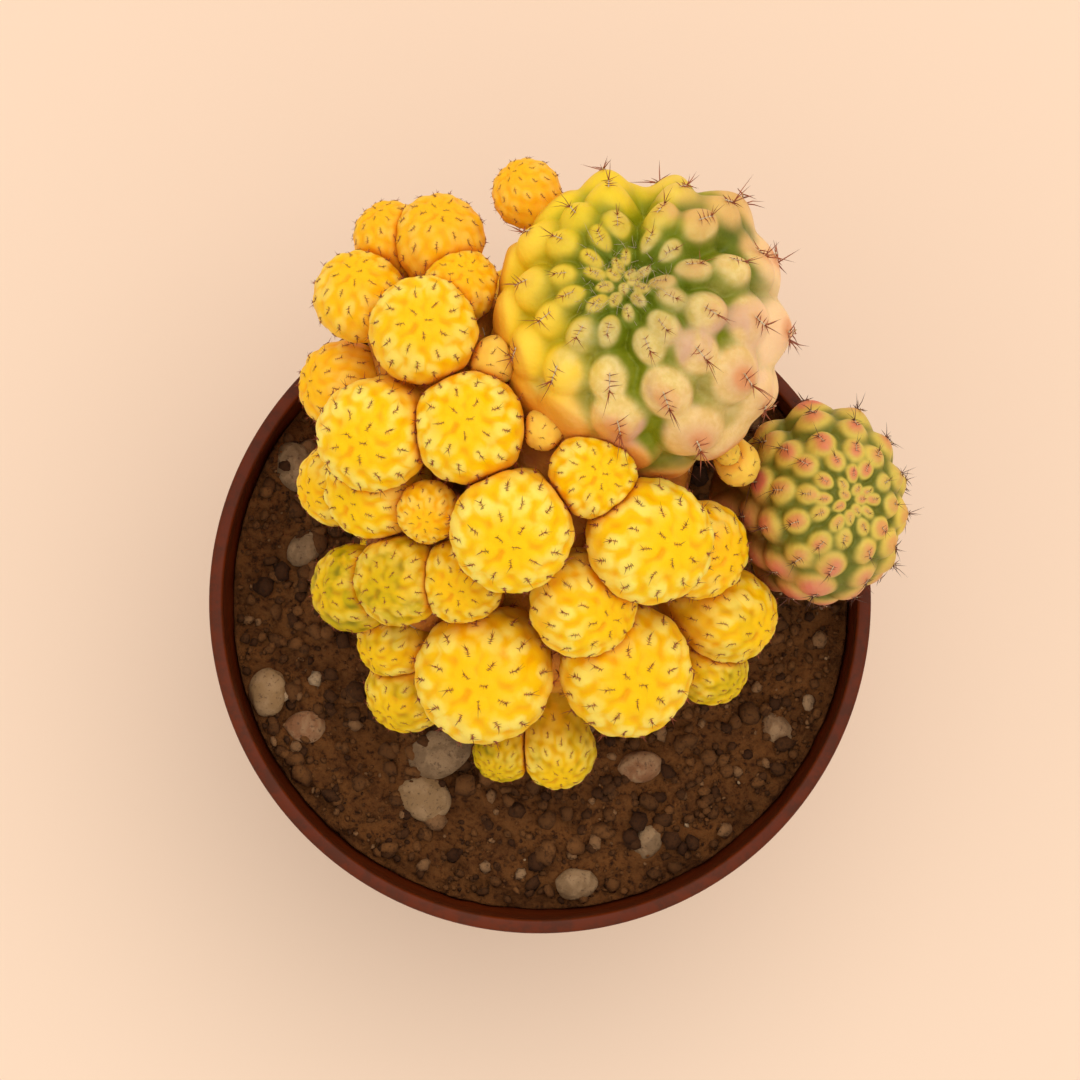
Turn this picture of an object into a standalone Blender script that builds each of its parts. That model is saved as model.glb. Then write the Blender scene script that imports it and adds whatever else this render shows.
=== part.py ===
"""A round clustering cactus in a plastic nursery pot.

Origin at the middle of the underside of the pot, +Z up. Scene units are metres.
The tables of offsets and stones are in millimetres, because that is how such small pieces are measured.
"""

import math

import bmesh
import bpy
import numpy as np
from mathutils import Vector

MM = 0.001

# Gap left between two pieces that touch on the real plant.
GAP = 0.0003

# Pot
POT_HEIGHT = 0.075
RIM_RADIUS = 0.0425
BASE_RADIUS = 0.0300
WALL = 0.0011
BASE_THICKNESS = 0.0014
BAND_HEIGHT = 0.0065
BAND_STEP = 0.0007
RIM_ROUND = 0.0004
BASE_ROUND = 0.0012
POT_SIDES = 64
DRAIN_HOLES = 6
DRAIN_HOLE_RADIUS = 0.0030
DRAIN_CIRCLE_RADIUS = 0.0190
DRAIN_TURN = 0.11
DRAIN_SIDES = 15

# Soil
SOIL_TOP = 0.0672
SOIL_WAVE = 0.0005
SOIL_WAVES_ALONG_X = 230.0
SOIL_WAVES_ALONG_Y = 190.0
SOIL_WAVES_ASKEW = 330.0
SOIL_RINGS = 7
SOIL_SIDES = 48

# Root of the plant
ROOT_TOP = (0.0010, 0.0020, 0.0690)
ROOT_LENGTH = 0.0240
ROOT_TOP_RADIUS = 0.0070
ROOT_TIP_RADIUS = 0.0018
ROOT_SIDES = 14

# The socket of the mother body is its shape grown by more than the gap, as it is grown slantwise.
MOTHER_SOCKET_GROWTH = 0.00045

# Mother body and branches: crown centre, crown radius, foot centre, foot radius, all in millimetres.
TRUNKS = {
    "mother_body": ((4, 19, 92.5), 16.5, (1, 2, 79), 15.0),
    "left_branch": ((-13, 33, 98), 8.8, (-11, 23, 94), 9.6),
    "lower_branch": ((-13, 5.5, 94), 9.0, (-7, 5, 88), 9.0),
}

# Heads: centre, three half sizes (the last one along the crown), lean of the crown in X and Y.
HEADS = {
    "big_head": ((12.1, 34.0, 106), (17.7, 19.0, 17.0), (-0.16, 0.32)),
    "side_head": ((34.6, 12.6, 92), (10.2, 12.2, 13.5), (0.26, 0.04)),
}
SIDE_HEAD_FOOT = ((23.5, 14, 83.5), 5.5)

# Offsets: what each grows from, centre and radius in millimetres, and lean of the crown in X and Y.
PUPS = {
    "pup_upper_1": ("left_branch", (-13.9, 33.1, 112.0), 6.5, (0.00, 0.16)),
    "pup_upper_2": ("left_branch", (-21.8, 37.6, 104.0), 5.6, (-0.10, 0.52)),
    "pup_upper_3": ("left_branch", (-12.2, 44.6, 104.0), 5.5, (0.05, 0.62)),
    "pup_upper_4": ("left_branch", (-18.2, 45.0, 100.5), 4.6, (-0.35, 0.70)),
    "pup_upper_5": ("left_branch", (-9.5, 38.8, 107.0), 4.5, (0.15, 0.35)),
    "pup_upper_6": ("big_head", (-1.6, 50.2, 104.0), 4.2, (-0.45, 0.60)),
    "pup_left_1": ("left_branch", (-20.0, 20.6, 110.5), 6.8, (-0.25, -0.16)),
    "pup_left_2": ("left_branch", (-24.0, 27.0, 97.5), 5.6, (-0.80, 0.10)),
    "pup_left_3": ("left_branch", (-20.1, 14.2, 103.0), 6.1, (-0.50, -0.30)),
    "pup_left_4": ("pup_left_3", (-24.6, 14.9, 97.5), 5.2, (-0.80, -0.20)),
    "pup_left_5": ("lower_branch", (-13.5, 11.6, 108.0), 3.8, (-0.12, -0.36)),
    "pup_lower_1": ("lower_branch", (-22.8, 2.2, 97.5), 5.4, (-0.75, -0.10)),
    "pup_lower_2": ("lower_branch", (-17.1, 3.2, 102.5), 5.6, (-0.35, -0.15)),
    "pup_lower_3": ("lower_branch", (-9.5, 3.2, 104.5), 5.2, (-0.10, -0.25)),
    "pup_lower_4": ("lower_branch", (-16.6, -10.8, 88.5), 5.2, (-0.50, -0.60)),
    "pup_lower_5": ("lower_branch", (-18.0, -4.5, 92.0), 4.6, (-0.70, -0.45)),
    "pup_front_1": ("mother_body", (-6.9, -8.6, 98.0), 8.4, (-0.10, -0.12)),
    "pup_front_2": ("mother_body", (10.6, -7.8, 98.0), 8.2, (0.14, -0.22)),
    "pup_front_3": ("mother_body", (5.2, 0.2, 105.0), 6.4, (0.55, -0.28)),
    "pup_front_4": ("mother_body", (2.2, -18.4, 85.5), 4.8, (0.10, -0.70)),
    "pup_front_5": ("mother_body", (-4.6, -18.6, 85.0), 3.8, (-0.25, -0.70)),
    "pup_middle_1": ("left_branch", (-8.5, 21.5, 112.5), 6.8, (-0.08, 0.13)),
    "pup_middle_2": ("mother_body", (-3.3, 9.2, 113.5), 7.4, (-0.05, -0.28)),
    "pup_middle_3": ("mother_body", (6.3, 15.9, 113.0), 5.3, (0.17, 0.00)),
    "pup_right_1": ("mother_body", (13.2, 8.0, 110.5), 7.6, (0.32, -0.06)),
    "pup_right_2": ("mother_body", (19.4, 6.9, 101.0), 6.0, (0.65, -0.10)),
    "pup_right_3": ("mother_body", (23.4, -1.3, 94.0), 5.9, (0.70, -0.30)),
    "pup_right_4": ("mother_body", (21.4, -8.0, 90.0), 4.5, (0.65, -0.55)),
    "pup_low_1": ("mother_body", (-12.5, -8.5, 79.0), 5.2, (-0.72, -0.60)),
    "pup_low_2": ("mother_body", (13.5, -9.0, 81.0), 5.4, (0.70, -0.62)),
    "pup_low_3": ("mother_body", (19.5, 3.5, 84.5), 5.2, (0.93, -0.20)),
    "pup_low_4": ("lower_branch", (-17.5, 7.0, 86.0), 5.2, (-0.93, 0.05)),
    "pup_low_5": ("left_branch", (-17.5, 28.0, 87.0), 5.4, (-0.85, 0.20)),
    "pup_back_1": ("mother_body", (-2.5, 36.0, 89.0), 6.4, (-0.20, 0.88)),
    "pup_back_2": ("mother_body", (9.0, 35.0, 82.0), 5.6, (0.15, 0.92)),
    "pup_back_3": ("mother_body", (20.0, 27.0, 85.0), 6.0, (0.75, 0.55)),
    "pup_back_4": ("mother_body", (-9.0, 23.0, 80.5), 5.2, (-0.75, 0.55)),
    "bud_1": ("big_head", (-5.5, 29.6, 110.5), 3.0, (-0.40, -0.20)),
    "bud_2": ("big_head", (0.4, 21.3, 112.0), 2.6, (-0.30, -0.40)),
    "bud_3": ("big_head", (24.2, 17.4, 101.0), 2.8, (0.30, -0.50)),
    "bud_4": ("big_head", (22.8, 18.7, 104.0), 1.6, (0.20, -0.50)),
}
# A neck runs from the crown of an offset to what it grows from, and narrows to this share of its radius.
PUP_FOOT_SHARE = 0.62
LONGEST_NECK = 1.5
NECK_STEPS = 8
# How far each side of a shared wall stays back: half the gap, and a little for the rounding of coordinates.
WALL_SETBACK = 0.00017
# The crown of each offset is sunk by this share of its radius, over this angle in radians.
CROWN_DIMPLE = 0.10
CROWN_DIMPLE_WIDTH = 0.42
PUP_SEGMENTS = 12
PUP_RINGS = 8
# An offset smaller than this is a bud, with fewer faces.
BUD_RADIUS = 0.0032
BUD_SEGMENTS = 10
BUD_RINGS = 6
HEAD_SEGMENTS = 28
HEAD_RINGS = 16
TRUNK_SEGMENTS = 22
TRUNK_RINGS = 14

# Stones: centre in X and Y, three half sizes, turn in degrees, all in millimetres; half of each is buried.
STONES = {
    "stone_1": ((-35.3, -11.6), (3.2, 2.4, 2.0), 75),
    "stone_2": ((-31.8, 17.6), (3.4, 2.6, 1.9), 110),
    "stone_3": ((-30.6, 7.0), (2.8, 2.0, 1.7), 40),
    "stone_4": ((-30.5, -16.2), (2.6, 2.2, 1.6), 10),
    "stone_5": ((-13.0, -19.5), (4.2, 3.0, 2.1), 25),
    "stone_6": ((-14.8, -25.4), (3.6, 2.9, 1.9), 150),
    "stone_7": ((13.0, -21.4), (2.9, 2.2, 1.6), 15),
    "stone_8": ((14.0, -31.2), (2.2, 1.8, 1.4), 60),
    "stone_9": ((4.6, -36.6), (2.6, 2.0, 1.5), 5),
    "stone_10": ((31.0, -16.5), (2.4, 1.8, 1.5), 130),
}
STONE_LUMP = 0.16
STONE_LUMPS = 4
STONE_LUMP_SPREAD = 2.2
STONE_SEED = 7

PLASTIC = ("terracotta_plastic", (0.145, 0.030, 0.012), 0.45, 0.0)
PEAT = ("peat", (0.045, 0.020, 0.008), 0.95, 0.0)
PEBBLE = ("pebble", (0.330, 0.215, 0.130), 0.80, 0.0)
GREEN_FLESH = ("variegated_flesh", (0.480, 0.430, 0.110), 0.50, 0.0)
YELLOW_FLESH = ("yellow_flesh", (0.950, 0.560, 0.020), 0.50, 0.0)
OLD_FLESH = ("old_flesh", (0.420, 0.260, 0.050), 0.60, 0.0)


def clear_scene():
    for obj in list(bpy.data.objects):
        bpy.data.objects.remove(obj, do_unlink=True)


def make_material(name, colour, roughness, metallic):
    material = bpy.data.materials.new(name)
    material.use_nodes = True
    shader = material.node_tree.nodes["Principled BSDF"]
    shader.inputs["Base Color"].default_value = (*colour, 1.0)
    shader.inputs["Roughness"].default_value = roughness
    shader.inputs["Metallic"].default_value = metallic
    return material


def make_object(name, mesh, look):
    obj = bpy.data.objects.new(name, mesh)
    obj.data.materials.append(make_material(f"{name}_{look[0]}", *look[1:]))
    bpy.context.scene.collection.objects.link(obj)
    mesh.shade_smooth()
    return obj


def hide_cutter(obj):
    obj.hide_render = True
    obj.display_type = "WIRE"


def add_boolean(obj, cutter, operation):
    modifier = obj.modifiers.new(f"{operation.lower()}_{cutter.name}", "BOOLEAN")
    modifier.operation = operation
    modifier.solver = "EXACT"
    modifier.object = cutter


def unit(vector):
    return np.asarray(vector, float) / np.linalg.norm(vector)


def crown_axis(lean):
    """Unit vector whose X and Y parts are the lean and whose Z part is what is left."""
    return np.array([lean[0], lean[1], math.sqrt(1.0 - lean[0] ** 2 - lean[1] ** 2)])


def axis_frame(axis):
    """Three columns: two directions across the axis, and the axis itself."""
    side = unit(np.cross([0.0, 1.0, 0.0], axis))
    return np.stack([side, np.cross(axis, side), axis], axis=1)


class Body:
    """A star-shaped piece of the plant: an ellipsoid at its crown, drawn out to a rounder foot."""

    def __init__(self, centre, half_sizes, axis, foot_centre, foot_radius, is_trunk=False):
        self.centre = np.asarray(centre, float)
        self.half_sizes = np.asarray(half_sizes, float)
        self.frame = axis_frame(axis)
        self.radius = float(self.half_sizes.mean())
        self.neck_radius = float(self.half_sizes.min())
        self.foot_centre = np.asarray(foot_centre, float)
        self.foot_radius = foot_radius
        self.is_trunk = is_trunk
        self.walls = []

    def nearest_ball(self, point):
        """Centre and radius of the ball that stands for this piece next to the point.

        A trunk gives the ball on its line from crown to foot that lies nearest. Any other piece gives its crown.
        """
        if not self.is_trunk:
            return self.centre, self.radius
        run = self.foot_centre - self.centre
        share = float(np.clip((point - self.centre) @ run / (run @ run), 0.0, 1.0))
        return self.centre + share * run, self.radius + share * (self.foot_radius - self.radius)

    def reach(self, rays):
        """Distance from the centre to the surface along each unit ray."""
        local = rays @ self.frame
        distance = 1.0 / np.linalg.norm(local / self.half_sizes, axis=1)
        run = self.foot_centre - self.centre
        for step in range(1, NECK_STEPS + 1):
            share = step / NECK_STEPS
            offset = share * run
            radius = self.neck_radius + share * (self.foot_radius - self.neck_radius)
            along = rays @ offset
            squared = along ** 2 - offset @ offset + radius ** 2
            far_side = along + np.sqrt(np.maximum(squared, 0.0))
            distance = np.where(squared > 0.0, np.maximum(distance, far_side), distance)
        return distance

    def reach_inside_walls(self, rays):
        """The same distance, stopped at each flat wall that this piece shares with a neighbour."""
        distance = self.reach(rays)
        for normal, depth in self.walls:
            facing = rays @ normal
            limit = np.where(facing > 1e-6, depth / np.maximum(facing, 1e-6), np.inf)
            distance = np.minimum(distance, limit)
        return distance


def share_wall(first, second):
    """Sets one flat wall between two pieces, half the gap away from each.

    Where their balls cross, the wall holds the circle that they share. Where they don't, it touches the larger
    ball, so that a small piece's neck can reach all the way to what it grows from.
    """
    ball_a, radius_a = first.nearest_ball(second.centre)
    ball_b, radius_b = second.nearest_ball(ball_a)
    ball_a, radius_a = first.nearest_ball(ball_b)
    apart = float(np.linalg.norm(ball_b - ball_a))
    normal = (ball_b - ball_a) / apart
    middle = (apart ** 2 + radius_a ** 2 - radius_b ** 2) / (2.0 * apart)
    if apart > radius_a + radius_b:
        middle = radius_a if radius_a > radius_b else apart - radius_b
    wall_point = ball_a + middle * normal
    depth_a = float((wall_point - first.centre) @ normal) - WALL_SETBACK
    depth_b = float((second.centre - wall_point) @ normal) - WALL_SETBACK
    if min(depth_a, depth_b) <= 0.0:
        raise ValueError("two pieces sit too far inside each other")
    first.walls.append((normal, depth_a))
    second.walls.append((-normal, depth_b))


def make_bodies():
    """Every piece of the plant by name, in metres."""
    bodies = {}
    for name, (crown, crown_radius, foot, foot_radius) in TRUNKS.items():
        axis = unit(np.subtract(crown, foot))
        sizes = np.full(3, crown_radius * MM)
        foot = np.multiply(foot, MM)
        bodies[name] = Body(np.multiply(crown, MM), sizes, axis, foot, foot_radius * MM, is_trunk=True)
    for name, (centre, sizes, lean) in HEADS.items():
        centre = np.multiply(centre, MM)
        bodies[name] = Body(centre, np.multiply(sizes, MM), crown_axis(lean), centre, np.mean(sizes) * MM)
    side_head = bodies["side_head"]
    side_head.foot_centre = np.multiply(SIDE_HEAD_FOOT[0], MM)
    side_head.foot_radius = SIDE_HEAD_FOOT[1] * MM
    for name, (parent, centre, radius, lean) in PUPS.items():
        centre = np.multiply(centre, MM)
        radius = radius * MM
        ball, ball_radius = bodies[parent].nearest_ball(centre)
        towards = unit(ball - centre)
        neck = np.clip(np.linalg.norm(ball - centre) - ball_radius, 0.0, LONGEST_NECK * radius)
        foot = centre + neck * towards
        bodies[name] = Body(centre, np.full(3, radius), crown_axis(lean), foot, PUP_FOOT_SHARE * radius)
    names = list(bodies)
    for index, name in enumerate(names):
        for other in names[index + 1 :]:
            share_wall(bodies[name], bodies[other])
    return bodies


def body_mesh(name, body, segments, rings, dimple):
    """A ball of quads round the crown axis, whose points are moved out to the surface of the piece."""
    mesh = bpy.data.meshes.new(name)
    bm = bmesh.new()
    bmesh.ops.create_uvsphere(bm, u_segments=segments, v_segments=rings, radius=1.0)
    rays = np.array([vertex.co for vertex in bm.verts])
    polar = np.arccos(np.clip(rays[:, 2], -1.0, 1.0))
    rays = rays @ body.frame.T
    distance = body.reach_inside_walls(rays)
    sink = dimple * np.exp(-((polar / CROWN_DIMPLE_WIDTH) ** 2))
    points = body.centre + rays * (distance * (1.0 - sink))[:, None]
    for vertex, point in zip(bm.verts, points):
        vertex.co = point
    bmesh.ops.recalc_face_normals(bm, faces=bm.faces)
    bm.to_mesh(mesh)
    bm.free()
    return mesh


def make_plant(bodies):
    for name, body in bodies.items():
        segments, rings, dimple, look = PUP_SEGMENTS, PUP_RINGS, CROWN_DIMPLE, YELLOW_FLESH
        if name in TRUNKS:
            segments, rings, dimple, look = TRUNK_SEGMENTS, TRUNK_RINGS, 0.0, OLD_FLESH
        elif name in HEADS:
            segments, rings, look = HEAD_SEGMENTS, HEAD_RINGS, GREEN_FLESH
        elif body.radius < BUD_RADIUS:
            segments, rings = BUD_SEGMENTS, BUD_RINGS
        make_object(name, body_mesh(name, body, segments, rings, dimple), look)


def turned_mesh(name, profile, sides):
    """A closed solid turned round Z from (radius, height) points that start and end on the axis."""
    mesh = bpy.data.meshes.new(name)
    bm = bmesh.new()
    rings = []
    for radius, height in profile:
        if radius == 0.0:
            rings.append([bm.verts.new((0.0, 0.0, height))])
            continue
        ring = []
        for step in range(sides):
            angle = 2.0 * math.pi * step / sides
            ring.append(bm.verts.new((radius * math.cos(angle), radius * math.sin(angle), height)))
        rings.append(ring)
    for low, high in zip(rings, rings[1:]):
        for step in range(sides):
            following = (step + 1) % sides
            corners = [low[step % len(low)], low[following % len(low)]]
            corners += [high[following % len(high)], high[step % len(high)]]
            bm.faces.new(list(dict.fromkeys(corners)))
    bmesh.ops.recalc_face_normals(bm, faces=bm.faces)
    bm.to_mesh(mesh)
    bm.free()
    return mesh


def outer_radius(height):
    """Radius of the outside of the pot's wall below its rim band."""
    top = RIM_RADIUS - BAND_STEP
    return BASE_RADIUS + (top - BASE_RADIUS) * height / (POT_HEIGHT - BAND_HEIGHT)


def inner_radius(height):
    """Radius of the inside of the pot: the same slope as the outside, straight up inside the band."""
    return outer_radius(min(height, POT_HEIGHT - BAND_HEIGHT)) - WALL


def make_pot():
    band_bottom = POT_HEIGHT - BAND_HEIGHT
    profile = [
        (0.0, 0.0),
        (outer_radius(0.0) - BASE_ROUND, 0.0),
        (outer_radius(BASE_ROUND), BASE_ROUND),
        (outer_radius(band_bottom - RIM_ROUND), band_bottom - RIM_ROUND),
        (RIM_RADIUS - RIM_ROUND, band_bottom),
        (RIM_RADIUS, band_bottom + RIM_ROUND),
        (RIM_RADIUS, POT_HEIGHT - RIM_ROUND),
        (RIM_RADIUS - RIM_ROUND, POT_HEIGHT),
        (inner_radius(POT_HEIGHT) + RIM_ROUND, POT_HEIGHT),
        (inner_radius(POT_HEIGHT), POT_HEIGHT - RIM_ROUND),
        (inner_radius(band_bottom), band_bottom),
        (inner_radius(BASE_THICKNESS + BASE_ROUND), BASE_THICKNESS + BASE_ROUND),
        (inner_radius(BASE_THICKNESS) - BASE_ROUND, BASE_THICKNESS),
        (0.0, BASE_THICKNESS),
    ]
    pot = make_object("pot", turned_mesh("pot", profile, POT_SIDES), PLASTIC)
    for index in range(DRAIN_HOLES):
        angle = 2.0 * math.pi * index / DRAIN_HOLES + DRAIN_TURN
        bm = bmesh.new()
        depth = 4.0 * BASE_THICKNESS
        radius = DRAIN_HOLE_RADIUS
        bmesh.ops.create_cone(
            bm, cap_ends=True, segments=DRAIN_SIDES, radius1=radius, radius2=radius, depth=depth
        )
        place = Vector((math.cos(angle), math.sin(angle), 0.0)) * DRAIN_CIRCLE_RADIUS
        bmesh.ops.translate(bm, verts=bm.verts, vec=place)
        mesh = bpy.data.meshes.new(f"drain_cutter_{index + 1}")
        bm.to_mesh(mesh)
        bm.free()
        cutter = make_object(mesh.name, mesh, PLASTIC)
        hide_cutter(cutter)
        add_boolean(pot, cutter, "DIFFERENCE")
    return pot


def soil_height(x, y):
    """Height of the soil's gently uneven top."""
    wave = math.sin(SOIL_WAVES_ALONG_X * x + 1.0) * math.cos(SOIL_WAVES_ALONG_Y * y - 0.4)
    askew = math.sin(SOIL_WAVES_ASKEW * (x + y))
    return SOIL_TOP + SOIL_WAVE * (wave + 0.6 * askew)


def make_soil():
    bottom = BASE_THICKNESS + GAP
    edge = inner_radius(SOIL_TOP) - GAP
    profile = [
        (0.0, bottom),
        (inner_radius(bottom) - BASE_ROUND - GAP, bottom),
        (inner_radius(bottom + BASE_ROUND) - GAP, bottom + BASE_ROUND),
    ]
    for ring in range(SOIL_RINGS, 0, -1):
        profile.append((edge * ring / SOIL_RINGS, SOIL_TOP))
    profile.append((0.0, SOIL_TOP))
    mesh = turned_mesh("soil", profile, SOIL_SIDES)
    for vertex in mesh.vertices:
        if vertex.co.z > SOIL_TOP - GAP:
            vertex.co.z = soil_height(vertex.co.x, vertex.co.y)
    return make_object("soil", mesh, PEAT)


def root_mesh(name, extra):
    """The tap root: a cone from inside the mother body down into the soil, grown all round by extra."""
    bm = bmesh.new()
    top, tip = ROOT_TOP_RADIUS + extra, ROOT_TIP_RADIUS + extra
    bmesh.ops.create_cone(
        bm, cap_ends=True, segments=ROOT_SIDES, radius1=tip, radius2=top, depth=ROOT_LENGTH + 2.0 * extra
    )
    middle = Vector(ROOT_TOP) - Vector((0.0, 0.0, 0.5 * ROOT_LENGTH))
    bmesh.ops.translate(bm, verts=bm.verts, vec=middle)
    mesh = bpy.data.meshes.new(name)
    bm.to_mesh(mesh)
    bm.free()
    return mesh


def plant_in_soil(soil, bodies):
    """Joins the root to the mother body, and cuts the socket of both into the soil."""
    mother = bpy.data.objects["mother_body"]
    root = make_object("root_tool", root_mesh("root_tool", 0.0), OLD_FLESH)
    hide_cutter(root)
    add_boolean(mother, root, "UNION")
    root_socket = make_object("root_socket_cutter", root_mesh("root_socket_cutter", GAP), PEAT)
    body = bodies["mother_body"]
    body_socket_mesh = body_mesh("mother_socket_cutter", body, TRUNK_SEGMENTS, TRUNK_RINGS, 0.0)
    for vertex in body_socket_mesh.vertices:
        outward = (vertex.co - Vector(body.centre)).normalized()
        vertex.co += outward * MOTHER_SOCKET_GROWTH
    body_socket = make_object("mother_socket_cutter", body_socket_mesh, PEAT)
    for cutter in (body_socket, root_socket):
        hide_cutter(cutter)
        add_boolean(soil, cutter, "DIFFERENCE")


def stone_mesh(name, centre, half_sizes, turn, lumps, extra):
    """A pebble: a ball stretched to three half sizes, with a few broad lumps, grown all round by extra."""
    bm = bmesh.new()
    bmesh.ops.create_icosphere(bm, subdivisions=2, radius=1.0)
    cosine, sine = math.cos(turn), math.sin(turn)
    for vertex in bm.verts:
        ray = vertex.co.normalized()
        waves = sum(math.cos(STONE_LUMP_SPREAD * ray.dot(lump) + 1.0) for lump in lumps)
        swell = 1.0 + STONE_LUMP * waves / STONE_LUMPS
        local = Vector([ray[axis] * (half_sizes[axis] * swell + extra) for axis in range(3)])
        turned = Vector((cosine * local.x - sine * local.y, sine * local.x + cosine * local.y, local.z))
        vertex.co = turned + centre
    mesh = bpy.data.meshes.new(name)
    bm.to_mesh(mesh)
    bm.free()
    return mesh


def make_stones(soil):
    random = np.random.default_rng(STONE_SEED)
    for name, ((x, y), sizes, turn) in STONES.items():
        lumps = [Vector(random.normal(size=3)) for _ in range(STONE_LUMPS)]
        x, y = x * MM, y * MM
        centre = Vector((x, y, soil_height(x, y)))
        half_sizes = [size * MM for size in sizes]
        turn = math.radians(turn)
        make_object(name, stone_mesh(name, centre, half_sizes, turn, lumps, 0.0), PEBBLE)
        socket_name = f"{name}_socket_cutter"
        socket = stone_mesh(socket_name, centre, half_sizes, turn, lumps, GAP)
        cutter = make_object(socket_name, socket, PEAT)
        hide_cutter(cutter)
        add_boolean(soil, cutter, "DIFFERENCE")


def main():
    clear_scene()
    make_pot()
    soil = make_soil()
    bodies = make_bodies()
    make_plant(bodies)
    plant_in_soil(soil, bodies)
    make_stones(soil)


main()
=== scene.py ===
# %% [markdown]
# # A clustering cactus in its nursery pot
#
# The plant is a crowd of small round cacti, each grown out of the one below it, round two larger variegated
# heads. It could be sculpted by hand, but every head follows the same rules: a ball, tubercles set out by the
# golden angle, a tuft of wool and a comb of spines on each tubercle. So each head here is a formula with its
# own numbers, and the crowd is the same formula called many times.

import math

import bpy
import numpy as np
from mathutils import Matrix, Vector


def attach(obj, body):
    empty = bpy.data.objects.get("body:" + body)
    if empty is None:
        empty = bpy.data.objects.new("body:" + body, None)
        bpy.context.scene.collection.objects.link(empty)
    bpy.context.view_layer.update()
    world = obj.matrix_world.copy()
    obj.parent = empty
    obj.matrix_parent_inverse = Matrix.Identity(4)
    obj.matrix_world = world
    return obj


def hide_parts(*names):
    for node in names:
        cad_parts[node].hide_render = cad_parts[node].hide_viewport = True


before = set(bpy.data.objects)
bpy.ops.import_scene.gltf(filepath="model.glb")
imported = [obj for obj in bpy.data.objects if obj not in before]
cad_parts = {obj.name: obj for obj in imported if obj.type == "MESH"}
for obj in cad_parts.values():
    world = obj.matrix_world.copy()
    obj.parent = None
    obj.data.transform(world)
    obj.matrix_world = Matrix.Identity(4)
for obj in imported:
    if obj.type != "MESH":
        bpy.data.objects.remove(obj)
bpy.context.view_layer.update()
MM = 0.001
TURN = 2.0 * math.pi


def add_object(name, data):
    """A new object in the scene."""
    thing = bpy.data.objects.new(name, data)
    bpy.context.scene.collection.objects.link(thing)
    return thing


# %% [markdown]
# ## Camera
#
# The plant is seen from straight above through a long lens, so that heads at different heights keep nearly
# the same scale. The camera hangs a little off the pot's middle, over the plant.

# %% Camera
CAMERA_HEIGHT = 0.620
CAMERA_OFFSET = 0.0081
LENS, SENSOR_WIDTH = 141.5, 36.0
camera_data = bpy.data.cameras.new("camera")
camera_data.lens = LENS
camera_data.sensor_width = SENSOR_WIDTH
camera_data.clip_start = 0.01
camera = add_object("camera", camera_data)
camera.location = (0.0, CAMERA_OFFSET, CAMERA_HEIGHT)
bpy.context.scene.camera = camera

# %% [markdown]
# ## Shader maths as Python
#
# A node tree is easier to read as an expression. `Value` wraps one output socket and overloads the operators
# that are used below, so that `1 - mask` adds a Math node. Colours never go through Math nodes, which would
# turn them grey: they are blended by `Tree.mix`, and a material's colour starts as one such mix and has more
# laid over it by `Tree.over`. `Tree.add` makes every other node.


# %% A socket with arithmetic
class Value:
    """One number coming out of a node. Arithmetic on it adds Math nodes to the same tree."""

    def __init__(self, tree, socket):
        self.tree = tree
        self.socket = socket

    def math(self, operation, *values, clamp=False):
        settings = {"operation": operation, "use_clamp": clamp}
        return self.tree.add("ShaderNodeMath", settings, dict(enumerate(values)))

    def __add__(self, other):
        return self.math("ADD", self, other)

    def __sub__(self, other):
        return self.math("SUBTRACT", self, other)

    def __rsub__(self, other):
        return self.math("SUBTRACT", other, self)

    def __mul__(self, other):
        return self.math("MULTIPLY", self, other)

    __radd__ = __add__
    __rmul__ = __mul__

    def clamp(self):
        return self.math("ADD", self, 0.0, clamp=True)

    def smooth(self, low, high):
        """0 up to low, 1 from high on, and an even S between. With low above high it runs the other way."""
        settings = {"interpolation_type": "SMOOTHSTEP", "clamp": True}
        sockets = {"Value": self, "From Min": low, "From Max": high}
        if low > high:
            sockets.update({"From Min": high, "From Max": low, "To Min": 1.0, "To Max": 0.0})
        return self.tree.add("ShaderNodeMapRange", settings, sockets)


print("arithmetic on sockets ready")


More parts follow.
